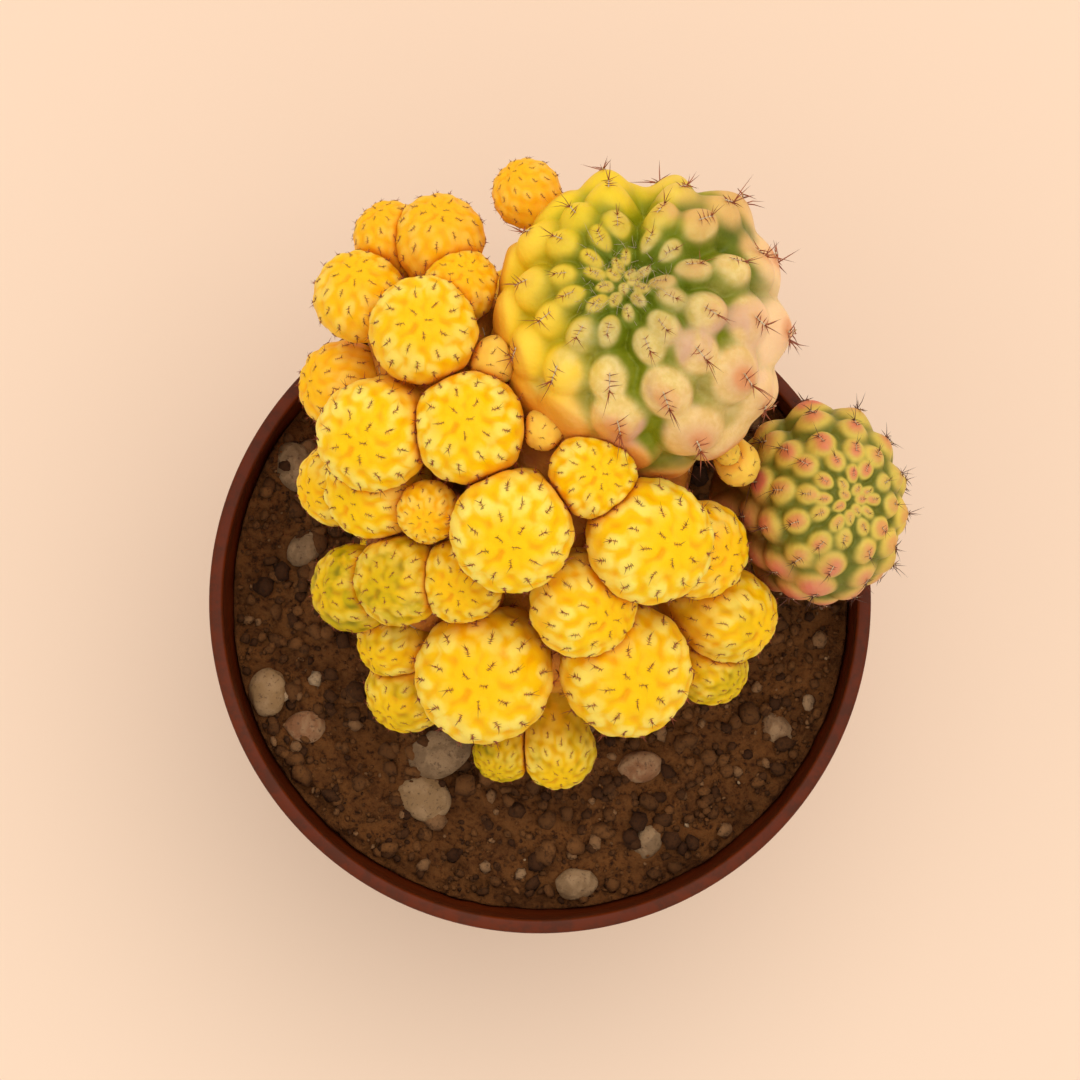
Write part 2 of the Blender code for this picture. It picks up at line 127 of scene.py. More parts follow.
# %% A material's node tree
class Tree:
    """The nodes of one material, ending in its Principled shader."""

    def __init__(self, name):
        self.material = bpy.data.materials.new(name)
        self.material.use_nodes = True
        self.nodes = self.material.node_tree.nodes
        self.links = self.material.node_tree.links
        self.shader = self.nodes["Principled BSDF"]
        self.colour = None

    def add(self, kind, settings=None, sockets=None, output=0):
        """Adds a node of that kind: its settings first, then each socket's value or link."""
        node = self.nodes.new(kind)
        for key, value in (settings or {}).items():
            setattr(node, key, value)
        for key, value in (sockets or {}).items():
            self.feed(node.inputs[key], value)
        return Value(self, node.outputs[output])

    def feed(self, socket, value):
        if isinstance(value, Value):
            self.links.new(value.socket, socket)
        elif socket.type == "RGBA":
            socket.default_value = (*srgb(*value), 1.0)
        else:
            socket.default_value = value

    def mix(self, mask, first, second):
        """The first colour where the mask is 0, the second where it is 1. Plain colours are 0 to 255."""
        settings = {"data_type": "RGBA", "clamp_factor": True}
        return self.add("ShaderNodeMix", settings, {0: mask, 6: first, 7: second}, output=2)

    def over(self, mask, colour):
        """Lays a colour over the material's colour so far, where the mask is 1."""
        self.colour = self.mix(mask, self.colour, colour)

    def place(self):
        """The point on the piece, in metres from the middle of the pot's foot."""
        return self.add("ShaderNodeTexCoord", output="Object")

    def axis(self, name):
        return self.add("ShaderNodeSeparateXYZ", sockets={0: self.place()}, output=name)

    def noise(self, size, detail=3.0, roughness=0.5, warp=0.0):
        """Cloudy values about 0.5, with patches of about that size in metres."""
        sockets = {"Vector": self.place(), "Scale": 1.0 / size, "Detail": detail}
        sockets.update({"Roughness": roughness, "Distortion": warp})
        return self.add("ShaderNodeTexNoise", sockets=sockets)

    def attribute(self, name):
        """A number that the piece's mesh holds at each point."""
        return self.add("ShaderNodeAttribute", {"attribute_name": name}, output="Fac")

    def attributes(self, *names):
        return [self.attribute(name) for name in names]

    def bump(self, height, distance, strength):
        sockets = {"Height": height, "Distance": distance, "Strength": strength}
        return self.add("ShaderNodeBump", sockets=sockets, output="Normal")

    def finish(self, sockets):
        """Feeds the shader with the material's colour and the sockets given, and returns the material."""
        for key, value in {"Base Color": self.colour, **sockets}.items():
            self.feed(self.shader.inputs[key], value)
        return self.material

    def rough_finish(self, roughness, shine, bump, more=None):
        """The ending that most of the materials share."""
        sockets = {"Roughness": roughness, "Specular IOR Level": shine, "Normal": bump}
        return self.finish({**sockets, **(more or {})})

    def flesh_finish(self, roughness, shine, bump, glow, colour_reach, reach):
        """Flesh: a share `glow` of the light goes in, as far as reach times the share for each colour."""
        sockets = {"Subsurface Weight": glow, "Subsurface Radius": colour_reach, "Subsurface Scale": reach}
        return self.rough_finish(roughness, shine, bump, sockets)


def srgb(red, green, blue):
    """A colour given as it looks on a screen, from 0 to 255, as the linear values that a shader takes."""
    values = np.array([red, green, blue]) / 255.0
    linear = np.where(values <= 0.04045, values / 12.92, ((values + 0.055) / 1.055) ** 2.4)
    return tuple(float(value) for value in linear)


print("shader helpers ready")

# %% [markdown]
# ## Meshes from arrays
#
# Every new piece starts as whole numpy arrays: points, and faces as corner numbers. A ball is a grid of rows
# from its crown to its foot and columns round its axis, closed by one point at each pole. Wool, grit and
# crumbs are the same small ball repeated, and spines are one thin cone repeated, so that thousands of them
# still take one array operation.

# %% Points and faces into a mesh
SHORTEST = 1e-12


def make_mesh(name, points, faces, values=None):
    """A smooth mesh from points (n, 3), a list of face arrays (m, corners) and named values per point."""
    mesh = bpy.data.meshes.new(name)
    mesh.vertices.add(len(points))
    mesh.vertices.foreach_set("co", np.asarray(points, np.float32).ravel())
    corners = np.concatenate([part.ravel() for part in faces])
    sizes = np.concatenate([np.full(len(part), part.shape[1]) for part in faces])
    mesh.loops.add(len(corners))
    mesh.loops.foreach_set("vertex_index", corners.astype(np.int32))
    mesh.polygons.add(len(sizes))
    mesh.polygons.foreach_set("loop_start", (np.cumsum(sizes) - sizes).astype(np.int32))
    mesh.update(calc_edges=True)
    for key, value in (values or {}).items():
        layer = mesh.attributes.new(key, "FLOAT", "POINT")
        layer.data.foreach_set("value", np.asarray(value, np.float32).ravel())
    mesh.shade_smooth()
    return mesh


def show(name, mesh, material, nodes=()):
    """Puts a finished mesh into the scene as a piece that rides with the pot and stands for CAD nodes."""
    mesh.materials.clear()
    mesh.materials.append(material)
    piece = add_object(name, mesh)
    if nodes:
        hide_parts(*nodes)
    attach(piece, "root")


def ball_faces(rows, columns):
    """Faces of a grid of rows by columns that closes on itself sideways and on a pole at either end.

    Point 0 is the first pole, then come the rows, and the last point is the other pole.
    """
    row, column = np.meshgrid(np.arange(rows - 1), np.arange(columns), indexing="ij")
    here = 1 + row * columns + column
    beside = 1 + row * columns + (column + 1) % columns
    quads = np.stack([here, here + columns, beside + columns, beside], axis=-1).reshape(-1, 4)
    around = np.arange(columns)
    following = (around + 1) % columns
    last_row = 1 + (rows - 1) * columns
    top = np.stack([np.zeros(columns, int), 1 + around, 1 + following], axis=1)
    last_pole = np.full(columns, 1 + rows * columns)
    bottom = np.stack([last_row + around, last_pole, last_row + following], axis=1)
    return [quads, top, bottom]


def ball_rays(rows, columns):
    """Unit rays of that grid, with the angle of each from the first pole."""
    polar = np.linspace(0.0, math.pi, rows + 2)
    around = np.arange(columns) * TURN / columns
    polar_grid, around_grid = np.meshgrid(polar[1:-1], around, indexing="ij")
    polar_flat = np.concatenate([[0.0], polar_grid.ravel(), [math.pi]])
    around_flat = np.concatenate([[0.0], around_grid.ravel(), [0.0]])
    return polar_flat, rays_of(polar_flat, around_flat)


def rays_of(polar, around):
    """Unit rays at an angle from +Z and an angle round it."""
    sine = np.sin(polar)
    return np.stack([sine * np.cos(around), sine * np.sin(around), np.cos(polar)], axis=-1)


def unit(vectors):
    """The same directions with a length of 1."""
    return vectors / np.maximum(np.linalg.norm(vectors, axis=-1, keepdims=True), SHORTEST)


def ramp(value, start, run):
    """0 up to start, then evenly up to 1 over the run."""
    return np.clip((value - start) / run, 0.0, 1.0)


def repeat_mesh(name, shapes, faces, values):
    """One mesh of many copies: shapes (copies, points, 3), the faces of one, values per copy and point."""
    copies, count = shapes.shape[:2]
    shift = np.arange(copies)[:, None, None] * count
    moved = [(part[None] + shift).reshape(-1, part.shape[1]) for part in faces]
    return make_mesh(name, shapes.reshape(-1, 3), moved, values)


print("mesh helpers ready")

# %% [markdown]
# ## Soft unevenness
#
# Nothing that grew is an exact ball. `ripple` adds a few broad waves over the directions of a ball. `rough`
# is noise on a flat field: random heights on a square lattice, joined by an even S between neighbours, which
# is what the soil needs. Both take whole arrays.

# %% Two kinds of unevenness
LATTICE = 256


def ripple(rays, seed, waves=6, tightness=2.6):
    """Broad bumps over unit rays, about -1 to 1: a mean of cosines along random directions."""
    random = np.random.default_rng(seed)
    directions = random.normal(size=(3, waves)) * tightness
    phases = random.uniform(0.0, TURN, waves)
    return np.cos(rays @ directions + phases).sum(axis=1) / math.sqrt(waves)


def rough(x, y, size, seed):
    """Lattice noise from -1 to 1: random corner heights, blended by the smooth step across a cell."""
    table = np.random.default_rng(seed).uniform(-1.0, 1.0, (LATTICE, LATTICE))
    cell_x, cell_y = np.floor(x / size).astype(int), np.floor(y / size).astype(int)
    part_x, part_y = x / size - cell_x, y / size - cell_y
    blend_x, blend_y = part_x**2 * (3.0 - 2.0 * part_x), part_y**2 * (3.0 - 2.0 * part_y)

    def row(step):
        y_index = (cell_y + step) % LATTICE
        left, right = table[cell_x % LATTICE, y_index], table[(cell_x + 1) % LATTICE, y_index]
        return left * (1.0 - blend_x) + right * blend_x

    return row(0) * (1.0 - blend_y) + row(1) * blend_y


print("unevenness ready")

# %% [markdown]
# ## Where every head grows
#
# These are the same places, sizes and leans as in the solid model, in millimetres. For a trunk: the middle
# and radius of its crown, then of its foot. For a large head: its middle, half sizes and lean. For a young
# one: what it grows from, its middle, its radius, and how far its crown leans along X and Y. Its last two
# numbers are for looks: how orange it is, as the young ones at the back are, and how green and dark, as the
# low ones are, which is partly their own green tint and partly painted shade for their low place in the
# cluster. A valley of the large head has a heading in radians and a depth.

# %% The table of heads
TRUNKS = {
    "mother_body": ((4, 19, 92.5), 16.5, (1, 2, 79), 15.0),
    "left_branch": ((-13, 33, 98), 8.8, (-11, 23, 94), 9.6),
    "lower_branch": ((-13, 5.5, 94), 9.0, (-7, 5, 88), 9.0),
}
HEADS = {
    "big_head": ((12.1, 34.0, 106), (17.7, 19.0, 17.0), (-0.16, 0.32)),
    "side_head": ((34.6, 12.6, 92), (10.2, 12.2, 13.5), (0.26, 0.04)),
}
SIDE_HEAD_FOOT = ((23.5, 14, 83.5), 5.5)
BIG_HEAD_VALLEYS = ((1.50, 2.4), (0.45, 2.0), (-1.45, 1.3))
PUP_GROUPS = {
    "upper": [
        ("left_branch", (-13.9, 33.1, 112.0), 6.5, (0.00, 0.16), 0.20, 0.00),
        ("left_branch", (-21.8, 37.6, 104.0), 5.6, (-0.10, 0.52), 0.45, 0.00),
        ("left_branch", (-12.2, 44.6, 104.0), 5.5, (0.05, 0.62), 0.80, 0.00),
        ("left_branch", (-18.2, 45.0, 100.5), 4.6, (-0.35, 0.70), 0.80, 0.00),
        ("left_branch", (-9.5, 38.8, 107.0), 4.5, (0.15, 0.35), 0.60, 0.00),
        ("big_head", (-1.6, 50.2, 104.0), 4.2, (-0.45, 0.60), 0.90, 0.00),
    ],
    "left": [
        ("left_branch", (-20.0, 20.6, 110.5), 6.8, (-0.25, -0.16), 0.05, 0.00),
        ("left_branch", (-24.0, 27.0, 97.5), 5.6, (-0.80, 0.10), 0.65, 0.00),
        ("left_branch", (-20.1, 14.2, 103.0), 6.1, (-0.50, -0.30), 0.00, 0.05),
        ("pup_left_3", (-24.6, 14.9, 97.5), 5.2, (-0.80, -0.20), 0.20, 0.10),
        ("lower_branch", (-13.5, 11.6, 108.0), 3.8, (-0.12, -0.36), 0.45, 0.00),
    ],
    "lower": [
        ("lower_branch", (-22.8, 2.2, 97.5), 5.4, (-0.75, -0.10), 0.10, 1.00),
        ("lower_branch", (-17.1, 3.2, 102.5), 5.6, (-0.35, -0.15), 0.10, 0.70),
        ("lower_branch", (-9.5, 3.2, 104.5), 5.2, (-0.10, -0.25), 0.20, 0.20),
        ("lower_branch", (-16.6, -10.8, 88.5), 5.2, (-0.50, -0.60), 0.05, 0.55),
        ("lower_branch", (-18.0, -4.5, 92.0), 4.6, (-0.70, -0.45), 0.00, 0.40),
    ],
    "front": [
        ("mother_body", (-6.9, -8.6, 98.0), 8.4, (-0.10, -0.12), 0.10, 0.00),
        ("mother_body", (10.6, -7.8, 98.0), 8.2, (0.14, -0.22), 0.10, 0.05),
        ("mother_body", (5.2, 0.2, 105.0), 6.4, (0.55, -0.28), 0.10, 0.00),
        ("mother_body", (2.2, -18.4, 85.5), 4.8, (0.10, -0.70), 0.00, 0.55),
        ("mother_body", (-4.6, -18.6, 85.0), 3.8, (-0.25, -0.70), 0.00, 1.00),
    ],
    "middle": [
        ("left_branch", (-8.5, 21.5, 112.5), 6.8, (-0.08, 0.13), 0.00, 0.00),
        ("mother_body", (-3.3, 9.2, 113.5), 7.4, (-0.05, -0.28), 0.00, 0.00),
        ("mother_body", (6.3, 15.9, 113.0), 5.3, (0.17, 0.00), 0.05, 0.00),
    ],
    "right": [
        ("mother_body", (13.2, 8.0, 110.5), 7.6, (0.32, -0.06), 0.00, 0.00),
        ("mother_body", (19.4, 6.9, 101.0), 6.0, (0.65, -0.10), 0.35, 0.00),
        ("mother_body", (23.4, -1.3, 94.0), 5.9, (0.70, -0.30), 0.10, 0.30),
        ("mother_body", (21.4, -8.0, 90.0), 4.5, (0.65, -0.55), 0.00, 0.65),
    ],
    "low": [
        ("mother_body", (-12.5, -8.5, 79.0), 5.2, (-0.72, -0.60), 0.00, 0.80),
        ("mother_body", (13.5, -9.0, 81.0), 5.4, (0.70, -0.62), 0.00, 0.70),
        ("mother_body", (19.5, 3.5, 84.5), 5.2, (0.93, -0.20), 0.10, 0.40),
        ("lower_branch", (-17.5, 7.0, 86.0), 5.2, (-0.93, 0.05), 0.10, 0.50),
        ("left_branch", (-17.5, 28.0, 87.0), 5.4, (-0.85, 0.20), 0.20, 0.30),
    ],
    "back": [
        ("mother_body", (-2.5, 36.0, 89.0), 6.4, (-0.20, 0.88), 0.30, 0.20),
        ("mother_body", (9.0, 35.0, 82.0), 5.6, (0.15, 0.92), 0.10, 0.50),
        ("mother_body", (20.0, 27.0, 85.0), 6.0, (0.75, 0.55), 0.20, 0.30),
        ("mother_body", (-9.0, 23.0, 80.5), 5.2, (-0.75, 0.55), 0.00, 0.60),
    ],
    "bud": [
        ("big_head", (-5.5, 29.6, 110.5), 3.0, (-0.40, -0.20), 0.90, 0.00),
        ("big_head", (0.4, 21.3, 112.0), 2.6, (-0.30, -0.40), 1.00, 0.00),
        ("big_head", (24.2, 17.4, 101.0), 2.8, (0.30, -0.50), 1.00, 0.00),
        ("big_head", (22.8, 18.7, 104.0), 1.6, (0.20, -0.50), 0.80, 0.20),
    ],
}
PUPS = {}
for group, rows in PUP_GROUPS.items():
    stem = "bud" if group == "bud" else "pup_" + group
    PUPS.update({f"{stem}_{number}": row for number, row in enumerate(rows, 1)})
print("heads:", len(TRUNKS) + len(HEADS) + len(PUPS))

# %% [markdown]
# ## One head as a formula
#
# A head is star-shaped: from its middle, one ray meets its skin once. Its own skin is an ellipsoid drawn out
# to a foot where it grew from its parent. Crowded heads press flat against each other, as soap bubbles do,
# so each pair shares a flat wall, and the skin is the soft least of its own distance and that of each wall.
# The soft least keeps a rounded edge where the flat part starts, which a hard cut would not.


# %% Heads and the walls between them
GAP = 0.00005
NECK_SHARE = 0.62
NECK_LIMIT = 1.5
NECK_STEPS = 8
NECK_SINK = 0.0006
EDGE_SOFTNESS = 0.00022
CREVICE_REACH = 0.0009
LEAST_FACING = 0.02
MOST_CROWD, MOST_NEAR = 60.0, 4.0


class Head:
    """A star-shaped head: its middle, half sizes, crown axis and the foot that it grows from."""

    def __init__(self, centre, half_sizes, axis, foot=None, foot_radius=0.0, is_trunk=False):
        self.centre = np.asarray(centre, float)
        self.half_sizes = np.asarray(half_sizes, float)
        side = unit(np.cross([0.0, 1.0, 0.0], axis))
        self.frame = np.stack([side, np.cross(axis, side), axis], axis=1)
        self.radius = float(self.half_sizes.mean())
        self.foot = self.centre if foot is None else np.asarray(foot, float)
        self.foot_radius = foot_radius
        self.is_trunk = is_trunk
        self.walls = []
        self.valleys = []

    def ball_near(self, point):
        """The ball that stands for this head next to a point: a trunk has one anywhere along its line."""
        if not self.is_trunk:
            return self.centre, self.radius
        run = self.foot - self.centre
        share = float(np.clip((point - self.centre) @ run / (run @ run), 0.0, 1.0))
        return self.centre + share * run, self.radius + share * (self.foot_radius - self.radius)

    def own_reach(self, rays):
        """Distance to the skin along each ray: the farthest of the ellipsoid and balls down to the foot."""
        distance = 1.0 / np.linalg.norm((rays @ self.frame) / self.half_sizes, axis=1)
        run = self.foot - self.centre
        start = float(self.half_sizes.min())
        for step in range(1, NECK_STEPS + 1):
            share = step / NECK_STEPS
            radius = start + share * (self.foot_radius - start)
            along = rays @ (share * run)
            squared = along**2 - share**2 * (run @ run) + radius**2
            far_side = along + np.sqrt(np.maximum(squared, 0.0))
            distance = np.where(squared > 0.0, np.maximum(distance, far_side), distance)
        return distance

    def pressed(self, rays, own):
        """The soft least of the skin's own distance and each wall's, and how near a wall the point lies."""
        crowd = np.zeros(len(rays))
        nearness = np.zeros(len(rays))
        for normal, depth, is_close in self.walls:
            facing = rays @ normal
            limit = np.where(facing > LEAST_FACING, depth / np.maximum(facing, LEAST_FACING), own + 1.0)
            crowd += np.exp(np.minimum((own - limit) / EDGE_SOFTNESS, MOST_CROWD))
            if is_close:
                nearness += np.exp(np.minimum((own - limit) / CREVICE_REACH, MOST_NEAR))
        return own - EDGE_SOFTNESS * np.log1p(crowd), np.minimum(nearness, 1.0)


def share_wall(first, second, related):
    """Gives two heads their flat wall: on the circle where their balls cross, or midway if they are apart.

    The second ball is taken twice, because a trunk's nearest ball depends on where the other one is. A head
    stands clear of its own side of the wall, and only the neck of an offset sinks into its parent.
    """
    ball_a, radius_a = first.ball_near(second.centre)
    ball_b, radius_b = second.ball_near(ball_a)
    ball_a, radius_a = first.ball_near(ball_b)
    apart = float(np.linalg.norm(ball_b - ball_a))
    normal = (ball_b - ball_a) / apart
    gap = apart - radius_a - radius_b
    middle = (apart**2 + radius_a**2 - radius_b**2) / (2.0 * apart) if gap < 0.0 else radius_a + 0.5 * gap
    point = ball_a + middle * normal
    is_close = gap < CREVICE_REACH
    sink = (gap + NECK_SINK if gap > 0.0 else NECK_SINK) if related else -GAP
    depth_a = float((point - first.centre) @ normal)
    depth_b = float((second.centre - point) @ normal)
    first.walls.append((normal, depth_a - GAP, is_close))
    second.walls.append((-normal, depth_b + sink, is_close))


def crown_axis(lean):
    """The unit vector that leans that far along X and Y."""
    return np.array([lean[0], lean[1], math.sqrt(1.0 - lean[0] ** 2 - lean[1] ** 2)])


def grow_heads():
    """Every head of the table by its name, with the walls that it shares."""
    heads = {}
    for name, (crown, radius, foot, foot_radius) in TRUNKS.items():
        axis = unit(np.subtract(crown, foot).astype(float))
        sizes = np.full(3, radius * MM)
        foot = np.multiply(foot, MM)
        heads[name] = Head(np.multiply(crown, MM), sizes, axis, foot, foot_radius * MM, is_trunk=True)
    for name, (centre, sizes, lean) in HEADS.items():
        heads[name] = Head(np.multiply(centre, MM), np.multiply(sizes, MM), crown_axis(lean))
        heads[name].foot_radius = heads[name].half_sizes.min()
    heads["side_head"].foot = np.multiply(SIDE_HEAD_FOOT[0], MM)
    heads["side_head"].foot_radius = SIDE_HEAD_FOOT[1] * MM
    for name, (parent, centre, radius, lean, _, _) in PUPS.items():
        centre, radius = np.multiply(centre, MM), radius * MM
        ball, ball_radius = heads[parent].ball_near(centre)
        apart = np.linalg.norm(ball - centre)
        neck = np.clip(apart - ball_radius, 0.0, NECK_LIMIT * radius)
        foot = centre + neck * (ball - centre) / apart
        heads[name] = Head(centre, np.full(3, radius), crown_axis(lean), foot, NECK_SHARE * radius)
    names = list(heads)
    for index, name in enumerate(names):
        for other in names[index + 1 :]:
            related = other in PUPS and PUPS[other][0] == name
            share_wall(heads[name], heads[other], related)
    return heads


heads = grow_heads()
heads["big_head"].valleys = [(heading, depth * MM) for heading, depth in BIG_HEAD_VALLEYS]
print("walls between heads:", sum(len(head.walls) for head in heads.values()) // 2)

# %% [markdown]
# ## Tubercles by the golden angle
#
# Each new tubercle of a cactus forms about 137.5 degrees round from the last one, which makes the crossing
# spirals that show on every head. Here areole number k sits at k times that angle, and the areoles crowd
# towards the young crown. The skin rises in a dome over each areole and dips in a crease between two. The
# soft least of the squared distances to all areoles gives both at once: 0 on an areole, most in a crease.
# On the two large heads the spirals have straightened into ribs, so their areoles stand in rows down each
# rib, closest at the crown, and none is exactly in its place. Tubercles differ in height by their vigour.


# %% Areoles and the relief around them
GOLDEN_ANGLE = math.pi * (3.0 - math.sqrt(5.0))
GOLDEN_SHARE = 0.618
TRIANGLE_PACKING = 1.155
FIRST_AREOLE = 0.4
RAYS_AT_ONCE = 20000
CREASE_LEVEL = 0.33
VIGOUR = (0.80, 1.10)
MOST_HEIGHT = 1.15
RIB_SHARE, RIB_START, RIB_RUN = 0.30, 0.15, 0.5


class Areoles:
    """Places of the areoles on a head, as angles from its crown and round it, and the size of a tubercle.

    `sizes_at` gives the distance between neighbours down and across, on a ball of radius 1, at an angle from
    the crown. A higher `crease` makes sharper creases. Each tubercle has its own vigour, by which its height
    is multiplied. With ribs, the creases between ribs are deeper than those along one.
    """

    def __init__(self, polar, around, sizes_at, crease, ribs=0, twist=0.0):
        self.polar, self.around, self.sizes_at = polar, around, sizes_at
        self.crease, self.ribs, self.twist = crease, ribs, twist
        self.rays = rays_of(polar, around)
        self.down = rays_of(polar + 0.5 * math.pi, around)
        self.across = np.cross(self.rays, self.down)
        self.spacing = self.spacing_at(polar)
        self.vigour = np.random.default_rng(len(polar)).uniform(*VIGOUR, len(polar))

    def spacing_at(self, polar):
        """The mean distance between neighbours at an angle from the crown."""
        down, across = self.sizes_at(polar)
        return np.sqrt(down * across)

    def relief(self, rays, polar):
        """About 1 on an areole and 0 in the creases: one minus the soft least of squared distances."""
        down_size, across_size = self.sizes_at(polar)
        height = np.empty(len(rays))
        for start in range(0, len(rays), RAYS_AT_ONCE):
            part = slice(start, start + RAYS_AT_ONCE)
            down = rays[part] @ self.down.T / down_size[part, None]
            across = rays[part] @ self.across.T / across_size[part, None]
            behind = (rays[part] @ self.rays.T - 1.0) / down_size[part, None]
            squared = down**2 + across**2 + behind**2
            least = squared.min(axis=1)
            weight = np.exp(-self.crease * (squared - least[:, None]))
            soft = weight.sum(axis=1)
            height[part] = 1.0 - (least - np.log(soft) / self.crease) / CREASE_LEVEL
            height[part] *= weight @ self.vigour / soft
        height = np.clip(height, 0.0, MOST_HEIGHT)
        if self.ribs:
            angle = np.arctan2(rays[:, 1], rays[:, 0]) - self.twist * polar
            share = RIB_SHARE * ramp(polar, RIB_START, RIB_RUN)
            height = height * (1.0 - share * np.sin(0.5 * self.ribs * angle) ** 2)
        return height


def golden_areoles(count, crowding, stretch, crease):
    """Areole k at k golden angles, on equal areas of the ball, crowded to the crown by a power."""
    step = (np.arange(count) + 0.5) / count

    def sizes_at(polar):
        share = np.maximum(0.5 * (1.0 - np.cos(polar)), FIRST_AREOLE / count) ** (1.0 / crowding)
        area = TRIANGLE_PACKING * 4.0 * math.pi * crowding * share ** (crowding - 1.0) / count
        spacing = np.sqrt(area)
        return spacing * stretch, spacing / stretch

    polar = np.arccos(1.0 - 2.0 * step**crowding)
    return Areoles(polar, np.arange(count) * GOLDEN_ANGLE, sizes_at, crease)


# %% Areoles in ribs
ROW_START, ROW_STEP, ROW_GROWTH = 0.08, 0.15, 0.032
AROUND_JITTER, POLAR_JITTER = 0.055, 0.022
ROW_MERGING, MERGING_GROWTH, MERGING_START, MERGING_RUN = 0.95, 0.25, 0.2, 0.4
LEAST_ACROSS, ACROSS_MERGING = 0.115, 1.12


def ribbed_areoles(ribs, rows, crease, twist):
    """Areoles in rows down each rib, each rib starting a golden share further down.

    Row number w lies at start + step * w + growth * w**2 from the crown, so rows are closest there, and
    the distance between two is the root of step**2 + 4 * growth * (polar - start). Each areole is then moved
    a little by chance. A tubercle is somewhat longer than that distance, so those of one rib merge.
    """
    rib, row = [grid.ravel() for grid in np.meshgrid(np.arange(ribs), np.arange(rows), indexing="ij")]
    way = row + (rib * GOLDEN_SHARE) % 1.0
    polar = ROW_START + ROW_STEP * way + ROW_GROWTH * way**2
    random = np.random.default_rng(ribs)
    around = TURN * rib / ribs + twist * polar + random.normal(0.0, AROUND_JITTER, len(polar))
    polar = polar + random.normal(0.0, POLAR_JITTER, len(polar))

    def sizes_at(polar):
        merging = ROW_MERGING + MERGING_GROWTH * ramp(polar, MERGING_START, MERGING_RUN)
        below = np.maximum(polar - ROW_START, 0.0)
        down = merging * np.sqrt(ROW_STEP**2 + 4.0 * ROW_GROWTH * below)
        return down, np.maximum(TURN * np.sin(polar) / ribs, LEAST_ACROSS) * ACROSS_MERGING

    return Areoles(polar, around, sizes_at, crease, ribs, twist)


print("golden angle:", round(math.degrees(GOLDEN_ANGLE), 2), "degrees")

# %% [markdown]
# ## The finished skin
#
# The relief, raised to a power below 1 so that the tops are broad, swells the head's own distance. It fades
# towards the side of the head. Broad waves, a dimple at the crown and, on the large head, three valleys are
# taken off, and the walls press the result last.

# %% Skin and valleys
BULGE, MIDDLE_RELIEF = 0.65, 0.6
FADE, FADE_START, FADE_RUN = 0.35, 0.8, 0.8
VALLEY_WIDTH = 0.15
VALLEY_START, VALLEY_START_RUN = 0.02, 0.25
VALLEY_END, VALLEY_END_RUN = -0.25, 0.5


def skin(head, areoles, rays, polar, seed, depth, unevenness, dimple, dimple_width):
    """Skin along rays in the head's frame: points, relief, nearness to a wall and how far it is pressed in.

    Swell = depth * fade * spacing * (relief ** BULGE - MIDDLE_RELIEF) + waves - dimple, in radii of the head.
    """
    world = rays @ head.frame.T
    relief = areoles.relief(rays, polar)
    fade = 1.0 - FADE * ramp(polar, FADE_START, FADE_RUN)
    swell = depth * fade * areoles.spacing_at(polar) * (relief**BULGE - MIDDLE_RELIEF)
    swell = swell + unevenness * ripple(rays, seed) - dimple * np.exp(-((polar / dimple_width) ** 2))
    own = head.own_reach(world) + head.radius * swell - valley_depth(head, world)
    distance, nearness = head.pressed(world, own)
    return head.centre + world * distance[:, None], relief, nearness, own - distance


def valley_depth(head, world):
    """Depth of the head's valleys, in metres: each runs from the crown towards a heading.

    It is greatest on the great circle through the crown and the heading, and dies out with the square of the
    distance from it, behind the crown, and below the head's widest place.
    """
    crown = head.frame[:, 2]
    total = np.zeros(len(world))
    for heading, depth in head.valleys:
        along = np.array([math.cos(heading), math.sin(heading), 0.0])
        along = unit(along - (along @ crown) * crown)
        aside = world @ np.cross(crown, along)
        start = ramp(world @ along, VALLEY_START, VALLEY_START_RUN)
        end = ramp(world @ crown, VALLEY_END, VALLEY_END_RUN)
        total += depth * np.exp(-((aside / VALLEY_WIDTH) ** 2)) * start * end
    return total


print("heads with valleys:", [name for name, head in heads.items() if head.valleys])

# %% [markdown]
# ## Spines and wool
#
# An areole is a narrow felt strip that runs down its tubercle, with short spines to both sides like the
# teeth of a comb and one or two longer ones at the lower end. A spine is a thin three-sided cone that bends
# a little. Each areole lays out its own comb in its own frame: down the tubercle, across it, and outwards.


# %% Combs of spines and strips of wool
SPINE_RINGS = np.array([0.0, 0.45])
SPINE_WIDTHS = np.array([1.0, 0.78])
SPINE_SIDES = 3
COMB_JITTER, LONG_JITTER, BEND_JITTER = 0.30, 0.36, 0.10
COMB_FAN, COMB_DROOP, COMB_ROUNDING = 1.3, 0.15, 0.5
COMB_LENGTHS, LONG_LENGTHS = (0.35, 1.15), (1.3, 2.3)
LONG_START, LONG_OUT, LONG_DOWN = 0.3, 0.75, 0.7
CURL, SPINE_SINK = 0.10, 0.05


def cone_faces():
    """Faces of one spine: two rings of three points, a tip, and a closed end."""
    ring = np.arange(SPINE_SIDES)
    following = (ring + 1) % SPINE_SIDES
    sides = np.stack([ring, following, following + SPINE_SIDES, ring + SPINE_SIDES], axis=1)
    tip = np.full(SPINE_SIDES, 2 * SPINE_SIDES)
    point = np.stack([ring + SPINE_SIDES, following + SPINE_SIDES, tip], axis=1)
    return [sides, point, ring[::-1][None]]


def spine_shapes(base, direction, bend, length, radius):
    """Points (spines, 7, 3): along a line from base that bends sideways with the square of the way along."""
    side = unit(np.cross(direction, bend + 0.3 * direction[:, [2, 0, 1]]))
    other = np.cross(direction, side)
    angle = np.arange(SPINE_SIDES) * TURN / SPINE_SIDES
    circle = np.cos(angle)[:, None] * side[:, None] + np.sin(angle)[:, None] * other[:, None]
    rows = []
    for way, width in zip(SPINE_RINGS, SPINE_WIDTHS):
        middle = base + (direction * way + bend * way**2) * length[:, None]
        rows.append(middle[:, None] + circle * (radius * width)[:, None, None])
    rows.append((base + (direction + bend) * length[:, None])[:, None])
    return np.concatenate(rows, axis=1)


